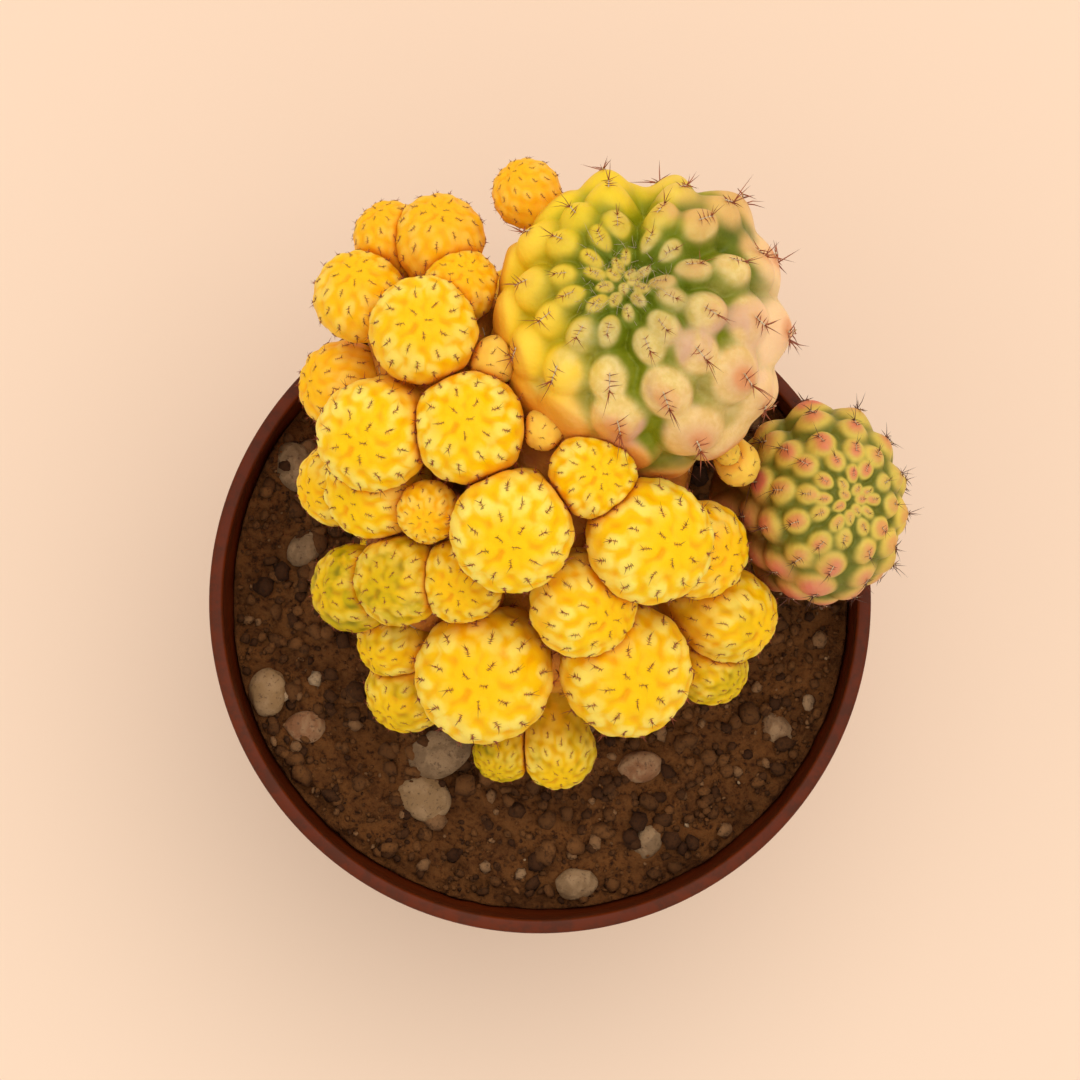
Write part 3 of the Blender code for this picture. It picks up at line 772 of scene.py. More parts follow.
def comb(points, down, across, outward, size, pairs, strip, reach, lift, width, long_spines, random):
    """Spines of many areoles: pairs to the sides along the strip, then a few long ones from its lower end.

    The pairs fan out along the strip, droop a little and are shorter at its ends. All lengths are shares of
    size, the areole's own scale in metres.
    """
    count = len(points)
    base, direction, length = [], [], []
    for pair in range(pairs):
        share = (pair + 0.5) / pairs - 0.5
        for side in (-1.0, 1.0):
            jitter = random.normal(0.0, COMB_JITTER, (count, 3))
            start = points + down * (share * strip * size)[:, None]
            aim = side * across * math.cos(lift) + outward * math.sin(lift)
            base.append(start)
            direction.append(unit(aim + down * (COMB_FAN * share + COMB_DROOP) + jitter))
            lengths = random.uniform(*COMB_LENGTHS, count)
            length.append(size * reach * lengths * (1.0 - COMB_ROUNDING * abs(share)))
    for _ in range(long_spines):
        jitter = random.normal(0.0, LONG_JITTER, (count, 3))
        base.append(points + down * (LONG_START * strip * size)[:, None])
        direction.append(unit(outward * LONG_OUT + down * LONG_DOWN + jitter))
        length.append(size * reach * random.uniform(*LONG_LENGTHS, count))
    base, direction, length = map(np.concatenate, (base, direction, length))
    spines = 2 * pairs + long_spines
    bend = random.normal(0.0, BEND_JITTER, base.shape) - CURL * np.tile(outward, (spines, 1))
    sunk = base - SPINE_SINK * direction * length[:, None]
    return spine_shapes(sunk, direction, bend, length, np.tile(size, spines) * width)


WOOL_WANDER, WOOL_OVERLAP, WOOL_FLATNESS = 0.15, 0.75, 0.8
WOOL_SIZES, WOOL_UNEVENNESS = (0.7, 1.2), (0.85, 1.15)
LUMP_ROWS, LUMP_COLUMNS = 3, 6
LUMP_FACES = ball_faces(LUMP_ROWS, LUMP_COLUMNS)
LUMP_RAYS = ball_rays(LUMP_ROWS, LUMP_COLUMNS)[1]


def wool_shapes(points, down, across, outward, size, lumps, strip, width, random):
    """Small balls in a row down each areole: a strip of felt that stands a little proud of the skin."""
    shapes = []
    for lump in range(lumps):
        share = (lump + 0.5) / lumps - 0.5
        start = points + down * (share * strip * size)[:, None]
        start = start + across * (random.normal(0.0, WOOL_WANDER * width, len(points)) * size)[:, None]
        half = size * width * random.uniform(*WOOL_SIZES, len(points))
        long_half = np.maximum(half, WOOL_OVERLAP * strip * size / lumps)
        local = LUMP_RAYS[None] * np.stack([long_half, half, WOOL_FLATNESS * half], axis=1)[:, None]
        local *= random.uniform(*WOOL_UNEVENNESS, local.shape[:2])[..., None]
        turned = local[..., :1] * down[:, None] + local[..., 1:2] * across[:, None]
        shapes.append(start[:, None] + turned + local[..., 2:] * outward[:, None])
    return np.concatenate(shapes)


SPINE_FACES = cone_faces()
print("faces in one spine:", sum(len(part) for part in SPINE_FACES))

# %% [markdown]
# ## Floor and light
#
# The board under the pot is plain and pale peach, with only a trace of mottling. The light is one wide soft
# lamp to the upper right, far larger than the pot, so shadows have no hard edge. A pale world fills them.

# %% Floor, lamp and world
FLOOR_SIZE = 3.0
LAMP_PLACE = (0.22, 0.45, 1.55)
LAMP_SIZE = 1.20
LAMP_POWER = 8.5
LAMP_TARGET = (0.0, 0.0, 0.08)
FILL_STRENGTH = 0.86


def floor_material():
    """Peach board with a trace of mottling."""
    tree = Tree("peach_board")
    mottle = tree.noise(0.4, detail=2.0)
    tree.colour = tree.mix(mottle.smooth(0.3, 0.7), (246, 215, 188), (249, 219, 192))
    return tree.finish({"Roughness": 0.85, "Specular IOR Level": 0.1})


half = 0.5 * FLOOR_SIZE
floor_points = [(-half, -half, 0.0), (half, -half, 0.0), (half, half, 0.0), (-half, half, 0.0)]
floor_mesh = make_mesh("floor", floor_points, [np.array([[0, 1, 2, 3]])])
floor_mesh.materials.append(floor_material())
add_object("floor", floor_mesh)

lamp_data = bpy.data.lights.new("window", "AREA")
lamp_data.shape = "DISK"
lamp_data.size = LAMP_SIZE
lamp_data.energy = LAMP_POWER
lamp_data.color = (1.0, 0.97, 0.93)
lamp = add_object("window", lamp_data)
lamp.location = LAMP_PLACE
lamp.rotation_euler = (Vector(LAMP_TARGET) - lamp.location).to_track_quat("-Z", "Y").to_euler()

world = bpy.data.worlds.new("pale_room")
world.use_nodes = True
background = world.node_tree.nodes["Background"].inputs
background["Color"].default_value = (1.0, 0.985, 0.96, 1.0)
background["Strength"].default_value = FILL_STRENGTH
bpy.context.scene.world = world
bpy.context.scene.view_settings.view_transform = "Standard"
print("lamp", round(Vector(LAMP_PLACE).length, 2), "m away")

# %% [markdown]
# ## Flesh of the young yellow heads
#
# Without chlorophyll the skin shows the yellow pigment alone: deep gold in the creases and cream in short
# streaks that run down from each areole. Orange where two heads press together is painted shade. Light goes
# a little way into the flesh, so the thin edges glow, and paler gold painted towards each head's foot adds a
# painted glow there. The mesh carries the relief, the streaks and the nearness to a neighbour as attributes,
# which keeps the colours on the real tubercles whatever the head's size.


# %% Yellow flesh
def yellow_flesh():
    """Gold with cream flanks, a painted glow low down, orange, peach and green by the head, painted shade by
    a neighbour.
    """
    tree = Tree("yellow_flesh")
    relief, streak, near, polar = tree.attributes("relief", "streak", "near", "polar")
    cloud = tree.noise(0.0035, detail=3.0)
    fleck = tree.noise(0.0007, detail=4.0, roughness=0.65)
    tree.colour = tree.mix(relief.smooth(0.0, 0.5), (248, 176, 0), (254, 200, 0))
    flank = streak.smooth(0.15, 0.45) * (relief * 0.6 + cloud * 1.3).smooth(0.84, 1.18)
    cream = flank * polar.smooth(0.30, 0.85) * (0.65 + fleck * 0.3)
    tree.over(cream.clamp(), (255, 231, 112))
    # Painted glow: paler gold towards each head's foot, standing in for light through its thin edges.
    painted_edge_glow = polar.smooth(0.95, 1.5) * (0.25 + cloud * 0.5)
    tree.over(painted_edge_glow, (250, 196, 60))
    orange = tree.attribute("orange") * (0.35 + cloud * 0.7)
    tree.over(orange.clamp(), (250, 172, 26))
    peach = tree.attribute("peach") * (0.6 + cloud * 0.5)
    tree.over(peach.clamp(), (255, 204, 86))
    # Olive green by the head's green number: partly its own tint, partly painted shade on the low heads.
    patch = tree.noise(0.0045, detail=3.0, warp=0.6).smooth(0.42, 0.6)
    green = tree.attribute("green") * (0.55 + patch * 0.65)
    green_colour = tree.mix(relief.smooth(0.0, 0.7), (132, 118, 0), (196, 166, 0))
    tree.over(green.clamp(), green_colour)
    # Painted shade: orange laid where the head crowds against a neighbour, in the crevice between them.
    tree.over(near.smooth(0.2, 1.0) * 0.45, (238, 146, 20))
    bump = tree.bump(fleck * 0.5 + cloud * 0.5, 0.0002, 0.4)
    return tree.flesh_finish(0.42 + fleck * 0.14, 0.15, bump, 0.4, (1.0, 0.6, 0.12), 0.0025)


YELLOW_FLESH = yellow_flesh()
print("yellow flesh ready")

# %% [markdown]
# ## Flesh of the variegated heads
#
# The two large heads are patchworks: some sectors make chlorophyll and some do not. Green sits in the
# grooves, cream and yellow on the tubercles, and pink or red where strong light has tinted the tips. The
# sectors are soft masks of the place on the head, broken up by noise. The attributes `east` and `north` say
# how far a point lies to each side of the head's middle, as a share of its radius, and `valley` how deep in
# a valley it lies, in millimetres.


# %% Variegated flesh
def big_flesh():
    """Cream and yellow, pink to one side, green grooves and valleys, a dark corner, painted light on the
    right edge, painted shade by a neighbour, and a green crown.
    """
    tree = Tree("variegated_flesh")
    relief, near, valley = tree.attributes("relief", "near", "valley")
    east, north, polar = tree.attributes("east", "north", "polar")
    cloud = tree.noise(0.009, detail=3.0, warp=0.5) - 0.5
    fleck = tree.noise(0.0012, detail=4.0, roughness=0.6)
    groove = 1.0 - (relief + cloud * 0.4 - valley * 0.14).smooth(0.16, 0.46)
    tip = (relief + cloud * 0.3).smooth(0.5, 0.95)
    cream = tree.mix(fleck.smooth(0.3, 0.7), (230, 196, 104), (246, 216, 142))
    yellow = tree.mix(relief.smooth(0.1, 0.7), (238, 194, 18), (255, 212, 62))
    left = (cloud * 1.3 - east * 0.9 + north * 0.4).smooth(0.05, 0.6)
    tree.colour = tree.mix(left, cream, yellow)
    low_edge = (cloud * 0.8 - north - east * 0.4).smooth(0.6, 1.0)
    tree.over(low_edge * 0.8, (248, 186, 60))
    pink_side = (east * 0.75 - north * 0.60 + cloud * 1.1).smooth(0.0, 0.65)
    tree.over(pink_side * (0.35 + tip * 0.35), (216, 154, 116))
    lilac = pink_side * cloud.smooth(0.0, 0.12) * 0.65
    tree.over(lilac, (202, 150, 138))
    green_share = (0.85 + east * 0.10 + north * 0.3 + cloud * 2.0 + valley * 0.35 - left * 0.45).clamp()
    green = tree.mix(fleck, (96, 108, 4), (150, 148, 20))
    tree.over(groove * green_share, green)
    lime = (north + cloud * 0.9).smooth(0.40, 0.80)
    lime_colour = tree.mix(relief.smooth(0.1, 0.5), (170, 166, 10), (240, 206, 30))
    tree.over(lime * 0.75, lime_colour)
    dark_corner = (east + cloud * 1.2).smooth(0.05, 0.50) * (north + cloud * 1.2).smooth(0.0, 0.45)
    dark = tree.mix((relief + cloud * 0.5).smooth(0.26, 0.66), (84, 98, 18), (222, 172, 104))
    tree.over(dark_corner * 0.85, dark)
    # Painted light: the right edge, which turns away from the lamp, is lifted to pale cream, with pink on its
    # tips.
    edge = (east + cloud * 0.6).smooth(0.66, 0.95)
    tree.over(edge * 0.75, (255, 214, 158))
    tree.over(edge * tip * 0.15, (236, 130, 92))
    halo = relief.smooth(0.80, 1.0) * (0.15 + pink_side * 0.55)
    tree.over(halo, (222, 138, 84))
    crown = (polar + cloud * 0.6).smooth(0.85, 0.25)
    hollow = 1.0 - (relief + cloud * 0.3).smooth(0.35, 0.75)
    tree.over(crown * (0.34 + hollow * 0.6), (104, 116, 16))
    # Painted shade: orange where the head crowds against a neighbour.
    tree.over(near.smooth(0.3, 1.0) * 0.5, (214, 124, 24))
    bump = tree.bump(fleck, 0.0003, 0.6)
    return tree.flesh_finish(0.40 + fleck * 0.18, 0.2, bump, 0.16, (1.0, 0.6, 0.25), 0.0015)


def side_flesh():
    """Yellow-green with green grooves, pink tips, a red side away from the light darkened with painted shade,
    and painted shade by a neighbour.
    """
    tree = Tree("green_and_red_flesh")
    relief, near, east, north = tree.attributes("relief", "near", "east", "north")
    cloud = tree.noise(0.006, detail=3.0, warp=0.5) - 0.5
    fleck = tree.noise(0.001, detail=4.0, roughness=0.6)
    groove = 1.0 - (relief + cloud * 0.6).smooth(0.18, 0.60)
    tip = (relief + cloud * 0.3).smooth(0.55, 0.98)
    tree.colour = tree.mix(fleck, (196, 170, 62), (226, 196, 92))
    bright = (east * 0.7 - north * 0.2 + cloud * 2.0).smooth(0.25, 0.9)
    tree.over(bright * 0.6, (240, 206, 84))
    tree.over(groove * 0.85, (84, 96, 20))
    tree.over(tip * (cloud * 3.0 + 0.6 - bright * 0.45).clamp(), (220, 112, 90))
    shaded = (cloud * 0.9 - east * 1.1 - north * 0.5).smooth(0.45, 1.0)
    red = tree.mix(relief.smooth(0.2, 0.9), (124, 40, 22), (206, 104, 80))
    low_pink = (cloud * 1.2 - north * 0.9).smooth(0.3, 0.9) * relief.smooth(0.2, 0.8)
    tree.over(low_pink * 0.6, (214, 120, 104))
    # Painted shade: the side away from the light is laid over in dark red, partly its own red tint and partly
    # painted shade.
    tree.over(shaded * 0.65, red)
    # Painted shade: dark red where the head crowds against a neighbour.
    tree.over(near.smooth(0.3, 1.0) * 0.6, (120, 44, 16))
    bump = tree.bump(fleck, 0.0003, 0.6)
    return tree.flesh_finish(0.40 + fleck * 0.18, 0.2, bump, 0.16, (1.0, 0.5, 0.25), 0.0015)


BIG_FLESH, SIDE_FLESH = big_flesh(), side_flesh()
print("variegated flesh ready")

# %% [markdown]
# ## Old flesh, spines and wool
#
# The three old bodies are orange-yellow above and turn to brown cork at the foot, where the skin has
# hardened. Spines are horn: red-brown on the young heads and the large one, and nearly black on the others.
# The felt on the areoles is matt: rust-brown on the young heads and off-white on the older ones.


# %% Old flesh, spines and wool
def old_flesh():
    """Orange-yellow, darker in the creases, painted shade next to a neighbour, and cork below a height."""
    tree = Tree("old_flesh")
    relief, near = tree.attributes("relief", "near")
    height = tree.axis("Z")
    cloud = tree.noise(0.006, detail=4.0, warp=0.4)
    fleck = tree.noise(0.0008, detail=4.0, roughness=0.65)
    tree.colour = tree.mix(cloud.smooth(0.35, 0.65), (216, 136, 20), (240, 168, 34))
    tree.over(1.0 - relief.smooth(0.05, 0.6), (176, 96, 14))
    cork = (height * -70.0 + cloud * 1.2 + 5.75).smooth(0.2, 1.0)
    cork_colour = tree.mix(fleck.smooth(0.35, 0.65), (106, 74, 42), (158, 120, 76))
    tree.over(cork, cork_colour)
    # Painted shade: darker orange where a body crowds against a neighbour.
    tree.over(near.smooth(0.3, 1.0) * 0.5, (150, 86, 24))
    bump = tree.bump(fleck + cloud, 0.0005, 0.7)
    return tree.flesh_finish(0.55 + fleck * 0.25, 0.5, bump, 0.1, (1.0, 0.5, 0.2), 0.0015)


def horn(name, pale, dark, tip_colour):
    """Each spine has its own shade from pale to dark, and a tip colour."""
    tree = Tree(name)
    grain = tree.noise(0.0006, detail=2.0)
    tree.colour = tree.mix((tree.attribute("shade") * 0.8 + grain * 0.3).clamp(), pale, dark)
    tree.over(tree.attribute("tip").smooth(0.4, 1.0) * 0.6, tip_colour)
    return tree.finish({"Roughness": 0.38 + grain * 0.2})


def felt(name, pale, dark):
    """Matt wool with a fine grain."""
    tree = Tree(name)
    grain = tree.noise(0.00035, detail=3.0, roughness=0.7)
    tree.colour = tree.mix(grain.smooth(0.3, 0.7), dark, pale)
    return tree.rough_finish(0.95, 0.1, tree.bump(grain, 0.0002, 0.8), {"Sheen Weight": 0.4})


OLD_FLESH = old_flesh()
YOUNG_SPINE = horn("young_spine", (176, 80, 36), (112, 42, 16), (76, 26, 8))
RED_SPINE = horn("red_brown_spine", (186, 96, 50), (124, 52, 26), (84, 30, 14))
DARK_SPINE = horn("dark_spine", (116, 58, 36), (62, 26, 14), (34, 12, 8))
YOUNG_FELT = felt("young_felt", (186, 104, 40), (130, 60, 22))
WHITE_FELT = felt("white_felt", (226, 206, 164), (180, 150, 108))
print("spine and felt finishes ready")

# %% [markdown]
# ## Building a head
#
# `grow` makes the skin of one head as a piece in place of its solid, and returns the frames of the areoles
# that show, so that spines and wool can be set on them. An areole is bare where a neighbour covers it, and
# low on the neck, where the old ones have worn off.


# %% Grow one head
COVERED = 0.0004
NEARBY = 0.10


class Look:
    """What one kind of head is built with.

    `depth`, `unevenness`, `dimple` and `dimple_width` shape its skin. Areoles farther than `lowest` from the
    crown are bare, and `chin` is how far spines and wool hang below the top of their tubercle, in spacings.
    """

    def __init__(self, areoles, streaks, depth, unevenness, dimple, dimple_width, lowest, chin=0.0):
        self.areoles, self.streaks = areoles, streaks
        self.skin_numbers = (depth, unevenness, dimple, dimple_width)
        self.lowest, self.chin = lowest, chin


def head_skin(head, look, rays, seed):
    """The skin of a head with its look, along any rays in the head's frame."""
    polar = np.arccos(np.clip(rays[:, 2], -1.0, 1.0))
    return skin(head, look.areoles, rays, polar, seed, *look.skin_numbers)


def grow(name, look, grid, seed, material, extra=None):
    """Makes the skin of a head on a grid of rows and columns, and returns the frames of its areoles."""
    head = heads[name]
    polar, rays = ball_rays(*grid)
    points, relief, nearness, _ = skin(head, look.areoles, rays, polar, seed, *look.skin_numbers)
    offset = (points - head.centre) / head.radius
    values = {"relief": relief, "near": nearness, "polar": polar}
    values["streak"] = look.streaks.relief(rays, polar)
    values["east"], values["north"] = offset[:, 0], offset[:, 1]
    values["valley"] = valley_depth(head, rays @ head.frame.T) / MM
    for key, value in (extra or {}).items():
        values[key] = np.full(len(points), value)
    mesh = make_mesh(name + "_flesh", points, ball_faces(*grid), values)
    show(name + "_flesh", mesh, material, [name])
    return areole_frames(head, look, seed)


def areole_frames(head, look, seed):
    """Place, three directions and size of each areole that shows, from three nearby points of the skin."""
    areoles = look.areoles
    step = NEARBY * areoles.spacing[:, None]
    spots = unit(areoles.rays + look.chin * areoles.spacing[:, None] * areoles.down)
    lower, beside = unit(spots + step * areoles.down), unit(spots + step * areoles.across)
    place, _, _, pressed = head_skin(head, look, spots, seed)
    down = unit(head_skin(head, look, lower, seed)[0] - place)
    outward = unit(np.cross(down, head_skin(head, look, beside, seed)[0] - place))
    across = np.cross(outward, down)
    shown = (pressed < COVERED) & (areoles.polar < look.lowest)
    size = areoles.spacing * head.radius
    return [values[shown] for values in (place, down, across, outward, size)]


# %% Dress heads with spines and wool
BODY_TIP, MIDDLE_TIP, POINT_TIP = 0.0, 0.45, 1.0
TIP_VALUES = [BODY_TIP] * SPINE_SIDES + [MIDDLE_TIP] * SPINE_SIDES + [POINT_TIP]


def shades_of(shapes, random):
    """One random number for each copy, from 0 to 1, given to all its points."""
    return np.repeat(random.uniform(0.0, 1.0, len(shapes))[:, None], shapes.shape[1], axis=1)


def dress(name, frames, numbers, materials, seed):
    """Spines and wool for a list of areole frames, as two pieces."""
    place, down, across, outward, size = [np.concatenate(parts) for parts in zip(*frames)]
    random = np.random.default_rng(seed)
    spines = comb(place, down, across, outward, size, **numbers["spines"], random=random)
    values = {"shade": shades_of(spines, random), "tip": np.tile(TIP_VALUES, (len(spines), 1))}
    mesh = repeat_mesh(name + "_spines", spines, SPINE_FACES, values)
    show(name + "_spines", mesh, materials[0])
    lumps = wool_shapes(place, down, across, outward, size, **numbers["wool"], random=random)
    mesh = repeat_mesh(name + "_wool", lumps, LUMP_FACES, {})
    show(name + "_wool", mesh, materials[1])
    print(name, "areoles", len(place), "spines", len(spines))


print("head builders ready")

# %% [markdown]
# ## The young yellow heads
#
# Sixty-four areoles cover a whole ball here. Tubercles are low, so the outline is only gently scalloped, and
# the crown sinks a little. Groups share their spines and wool pieces, as they share their colouring.

# %% Grow the young heads
PUP_AREOLES = golden_areoles(64, crowding=1.22, stretch=1.16, crease=10.0)
PUP_STREAKS = golden_areoles(64, crowding=1.22, stretch=1.7, crease=10.0)
BUD_AREOLES = golden_areoles(30, crowding=1.10, stretch=1.05, crease=12.0)
PUP_LOOK = Look(PUP_AREOLES, PUP_STREAKS, 0.21, 0.014, 0.06, dimple_width=0.26, lowest=2.25)
BUD_LOOK = Look(BUD_AREOLES, BUD_AREOLES, 0.08, 0.020, 0.02, dimple_width=0.25, lowest=1.9)
PUP_NUMBERS = {
    "spines": dict(pairs=5, strip=0.36, reach=0.19, lift=0.40, width=0.0155, long_spines=2),
    "wool": dict(lumps=2, strip=0.22, width=0.016),
}
PUP_GRID, BUD_GRID = (84, 116), (48, 72)
PUP_SEED, PUP_DRESS_SEED = 100, 500

for group_index, group in enumerate(PUP_GROUPS):
    frames = []
    is_bud = group == "bud"
    look, grid = (BUD_LOOK, BUD_GRID) if is_bud else (PUP_LOOK, PUP_GRID)
    for index, (name, (*_, orange, green)) in enumerate(PUPS.items()):
        if group in name.split("_"):
            extra = {"orange": 0.0 if is_bud else orange, "green": green, "peach": float(is_bud)}
            frames.append(grow(name, look, grid, PUP_SEED + index, YELLOW_FLESH, extra))
    dress(group, frames, PUP_NUMBERS, (YOUNG_SPINE, YOUNG_FELT), PUP_DRESS_SEED + group_index)

# %% [markdown]
# ## The two variegated heads
#
# These are older, so their tubercles stand out like chins, the wool runs down each one in a strip, and the
# spines are long enough to bend and cross.

# %% Grow the large head
BIG_AREOLES = ribbed_areoles(ribs=13, rows=7, crease=26.0, twist=0.30)
BIG_LOOK = Look(BIG_AREOLES, BIG_AREOLES, 0.48, 0.024, 0.16, dimple_width=0.26, lowest=2.3, chin=0.06)
BIG_NUMBERS = {
    "spines": dict(pairs=4, strip=0.40, reach=0.24, lift=0.30, width=0.0105, long_spines=3),
    "wool": dict(lumps=5, strip=0.40, width=0.013),
}
BIG_SEED = 11
frames = [grow("big_head", BIG_LOOK, (240, 320), BIG_SEED, BIG_FLESH)]
dress("big_head", frames, BIG_NUMBERS, (RED_SPINE, WHITE_FELT), 601)

# %% [markdown]
# ## Hairs over the crown
#
# The newest areoles stand so close that their wool cannot be told apart. Fine pale hairs lie over the sunken
# crown any way round: thin cones like the spines.

# %% Hairs of the large head
HAIRS, HAIR_SPREAD, HAIR_RADIUS = 150, 0.36, 0.032 * MM
HAIR_LENGTHS, HAIR_BEND, HAIR_LIFT = (0.8, 2.4), 0.3, 0.5


def crown_hairs(head, look, seed, shape_seed):
    """Thin cones that start within HAIR_SPREAD of the crown, with random directions that lean outwards."""
    random = np.random.default_rng(seed)
    polar = HAIR_SPREAD * np.sqrt(random.uniform(0.0, 1.0, HAIRS))
    rays = rays_of(polar, random.uniform(0.0, TURN, HAIRS))
    place = head_skin(head, look, rays, shape_seed)[0]
    aim = unit(unit(random.normal(size=(HAIRS, 3))) + HAIR_LIFT * (rays @ head.frame.T))
    length = random.uniform(*HAIR_LENGTHS, HAIRS) * MM
    bend = random.normal(0.0, HAIR_BEND, (HAIRS, 3))
    return spine_shapes(place, aim, bend, length, np.full(HAIRS, HAIR_RADIUS))


hairs = crown_hairs(heads["big_head"], BIG_LOOK, 611, BIG_SEED)
hair_mesh = repeat_mesh("big_head_hairs", hairs, SPINE_FACES, {})
show("big_head_hairs", hair_mesh, WHITE_FELT)
print("hairs:", HAIRS)

# %% Grow the side head
SIDE_AREOLES = ribbed_areoles(ribs=12, rows=7, crease=26.0, twist=-0.25)
SIDE_LOOK = Look(SIDE_AREOLES, SIDE_AREOLES, 0.44, 0.014, 0.08, dimple_width=0.30, lowest=2.3, chin=0.08)
SIDE_NUMBERS = {
    "spines": dict(pairs=4, strip=0.40, reach=0.26, lift=0.30, width=0.011, long_spines=3),
    "wool": dict(lumps=5, strip=0.36, width=0.015),
}
frames = [grow("side_head", SIDE_LOOK, (170, 230), 12, SIDE_FLESH)]
dress("side_head", frames, SIDE_NUMBERS, (DARK_SPINE, WHITE_FELT), 602)

# %% [markdown]
# ## The old bodies
#
# Little of them shows between their offsets, but they are whole: low worn tubercles with a few spines left.

# %% Grow the old bodies
OLD_AREOLES = golden_areoles(110, crowding=1.05, stretch=1.0, crease=12.0)
OLD_LOOK = Look(OLD_AREOLES, OLD_AREOLES, 0.12, 0.02, 0.0, dimple_width=0.3, lowest=2.0)
OLD_NUMBERS = {
    "spines": dict(pairs=3, strip=0.40, reach=0.22, lift=0.35, width=0.010, long_spines=1),
    "wool": dict(lumps=2, strip=0.30, width=0.025),
}
OLD_GRID, OLD_SEED = (130, 180), 20
frames = []
for index, name in enumerate(TRUNKS):
    frames.append(grow(name, OLD_LOOK, OLD_GRID, OLD_SEED + index, OLD_FLESH))
dress("old_body", frames, OLD_NUMBERS, (DARK_SPINE, WHITE_FELT), 603)

# %% [markdown]
# ## The pot
#
# A thin nursery pot is turned: one profile of radius and height, carried once round the axis. The outline
# goes up the outer wall, over the rolled lip of the rim band, down the inner wall and across the floor of the
# pot. Boolean cylinders then cut the six drain holes through the floor, as the moulding tool does.

# %% Pot
POT_HEIGHT, WALL, FLOOR_THICKNESS = 0.075, 0.0011, 0.0014
RIM_RADIUS, BASE_RADIUS = 0.0425, 0.0300
BAND_HEIGHT, BAND_STEP = 0.0065, 0.0007
BAND_LOW = POT_HEIGHT - BAND_HEIGHT
WALL_LEAN = (RIM_RADIUS - BAND_STEP - BASE_RADIUS) / BAND_LOW
DRAIN_HOLES, DRAIN_RADIUS, DRAIN_CIRCLE, DRAIN_TURN = 6, 0.0030, 0.0190, 0.11
CUT_LOW, CUT_HIGH, CUT_COLUMNS = -0.003, 0.005, 36
SHARP_ANGLE = math.radians(40.0)
POT_COLUMNS, POT_WOBBLE = 288, 0.00004


def pot_profile():
    """Radius and height along the outline, from the middle of the foot outside to the middle inside.

    The outer wall leans out at an even rate, the band steps out from it, and every corner is a small arc.
    """
    quarter = np.linspace(0.0, 0.5 * math.pi, 6)
    foot_round, lip_round = 0.0012, 0.0004
    rows = [(radius, 0.0) for radius in (0.004, 0.012, 0.022, 0.027)]
    centre = BASE_RADIUS - foot_round
    rows += [(centre + foot_round * math.sin(a), foot_round * (1.0 - math.cos(a))) for a in quarter]
    heights = np.linspace(foot_round + 0.002, BAND_LOW - 0.001, 26)
    rows += [(BASE_RADIUS + WALL_LEAN * height, height) for height in heights]
    top = BASE_RADIUS + WALL_LEAN * BAND_LOW
    rows += [(top, BAND_LOW - 0.0002), (RIM_RADIUS - 0.0002, BAND_LOW), (RIM_RADIUS, BAND_LOW + 0.0003)]
    rows += [(RIM_RADIUS, height) for height in np.linspace(BAND_LOW + 0.001, POT_HEIGHT - 0.001, 6)]
    centre = RIM_RADIUS - lip_round
    outer_lip = [(centre + lip_round * math.cos(a), lip_round * (1.0 - math.sin(a))) for a in quarter]
    inner_top = top - WALL
    inner_lip = [(inner_top + lip_round * (1.0 - math.sin(a)), lip_round * (1.0 - math.cos(a)))
                 for a in quarter]
    rows += [(radius, POT_HEIGHT - below) for radius, below in outer_lip + inner_lip]
    rows += [(inner_top, height) for height in np.linspace(POT_HEIGHT - 0.001, BAND_LOW, 6)]
    heights = np.linspace(BAND_LOW - 0.001, FLOOR_THICKNESS + 0.002, 22)
    rows += [(BASE_RADIUS + WALL_LEAN * height - WALL, height) for height in heights]
    edge = BASE_RADIUS - WALL
    rows += [(edge - 0.0004, FLOOR_THICKNESS + 0.0004), (edge - 0.0012, FLOOR_THICKNESS)]
    rows += [(radius, FLOOR_THICKNESS) for radius in (0.024, 0.014, 0.004)]
    return np.array(rows)


def turned_mesh(name, profile, columns, wobble):
    """The profile carried round Z, closed on the axis at both ends, with a wobble in metres."""
    around = np.arange(columns) * TURN / columns
    radius = profile[:, :1] + wobble * (np.sin(2.0 * around + 0.7) + 0.5 * np.sin(5.0 * around))[None]
    height = np.repeat(profile[:, 1:], columns, axis=1)
    grid = np.stack([radius * np.cos(around), radius * np.sin(around), height], axis=-1).reshape(-1, 3)
    points = np.concatenate([[[0.0, 0.0, profile[0, 1]]], grid, [[0.0, 0.0, profile[-1, 1]]]])
    faces = [part[:, ::-1] for part in ball_faces(len(profile), columns)]
    return make_mesh(name, points, faces)


def cut_holes(mesh, name):
    """Cuts the drain holes with Boolean modifiers and returns the finished mesh."""
    blank = add_object(name + "_blank", mesh)
    cutters = []
    for index in range(DRAIN_HOLES):
        angle = DRAIN_TURN + index * TURN / DRAIN_HOLES
        spot = np.array([DRAIN_CIRCLE * math.cos(angle), DRAIN_CIRCLE * math.sin(angle), 0.0])
        rows = [(DRAIN_RADIUS, CUT_LOW), (DRAIN_RADIUS, CUT_HIGH)]
        tool_mesh = turned_mesh("drain_tool", np.array(rows), CUT_COLUMNS, 0.0)
        tool_mesh.transform(Matrix.Translation(spot))
        cutters.append(add_object("drain_tool", tool_mesh))
        modifier = blank.modifiers.new("drain", "BOOLEAN")
        modifier.operation = "DIFFERENCE"
        modifier.object = cutters[-1]
    evaluated = blank.evaluated_get(bpy.context.evaluated_depsgraph_get())
    result = bpy.data.meshes.new_from_object(evaluated)
    for extra in [blank, *cutters]:
        bpy.data.objects.remove(extra)
    result.name = name
    result.set_sharp_from_angle(angle=SHARP_ANGLE)
    return result


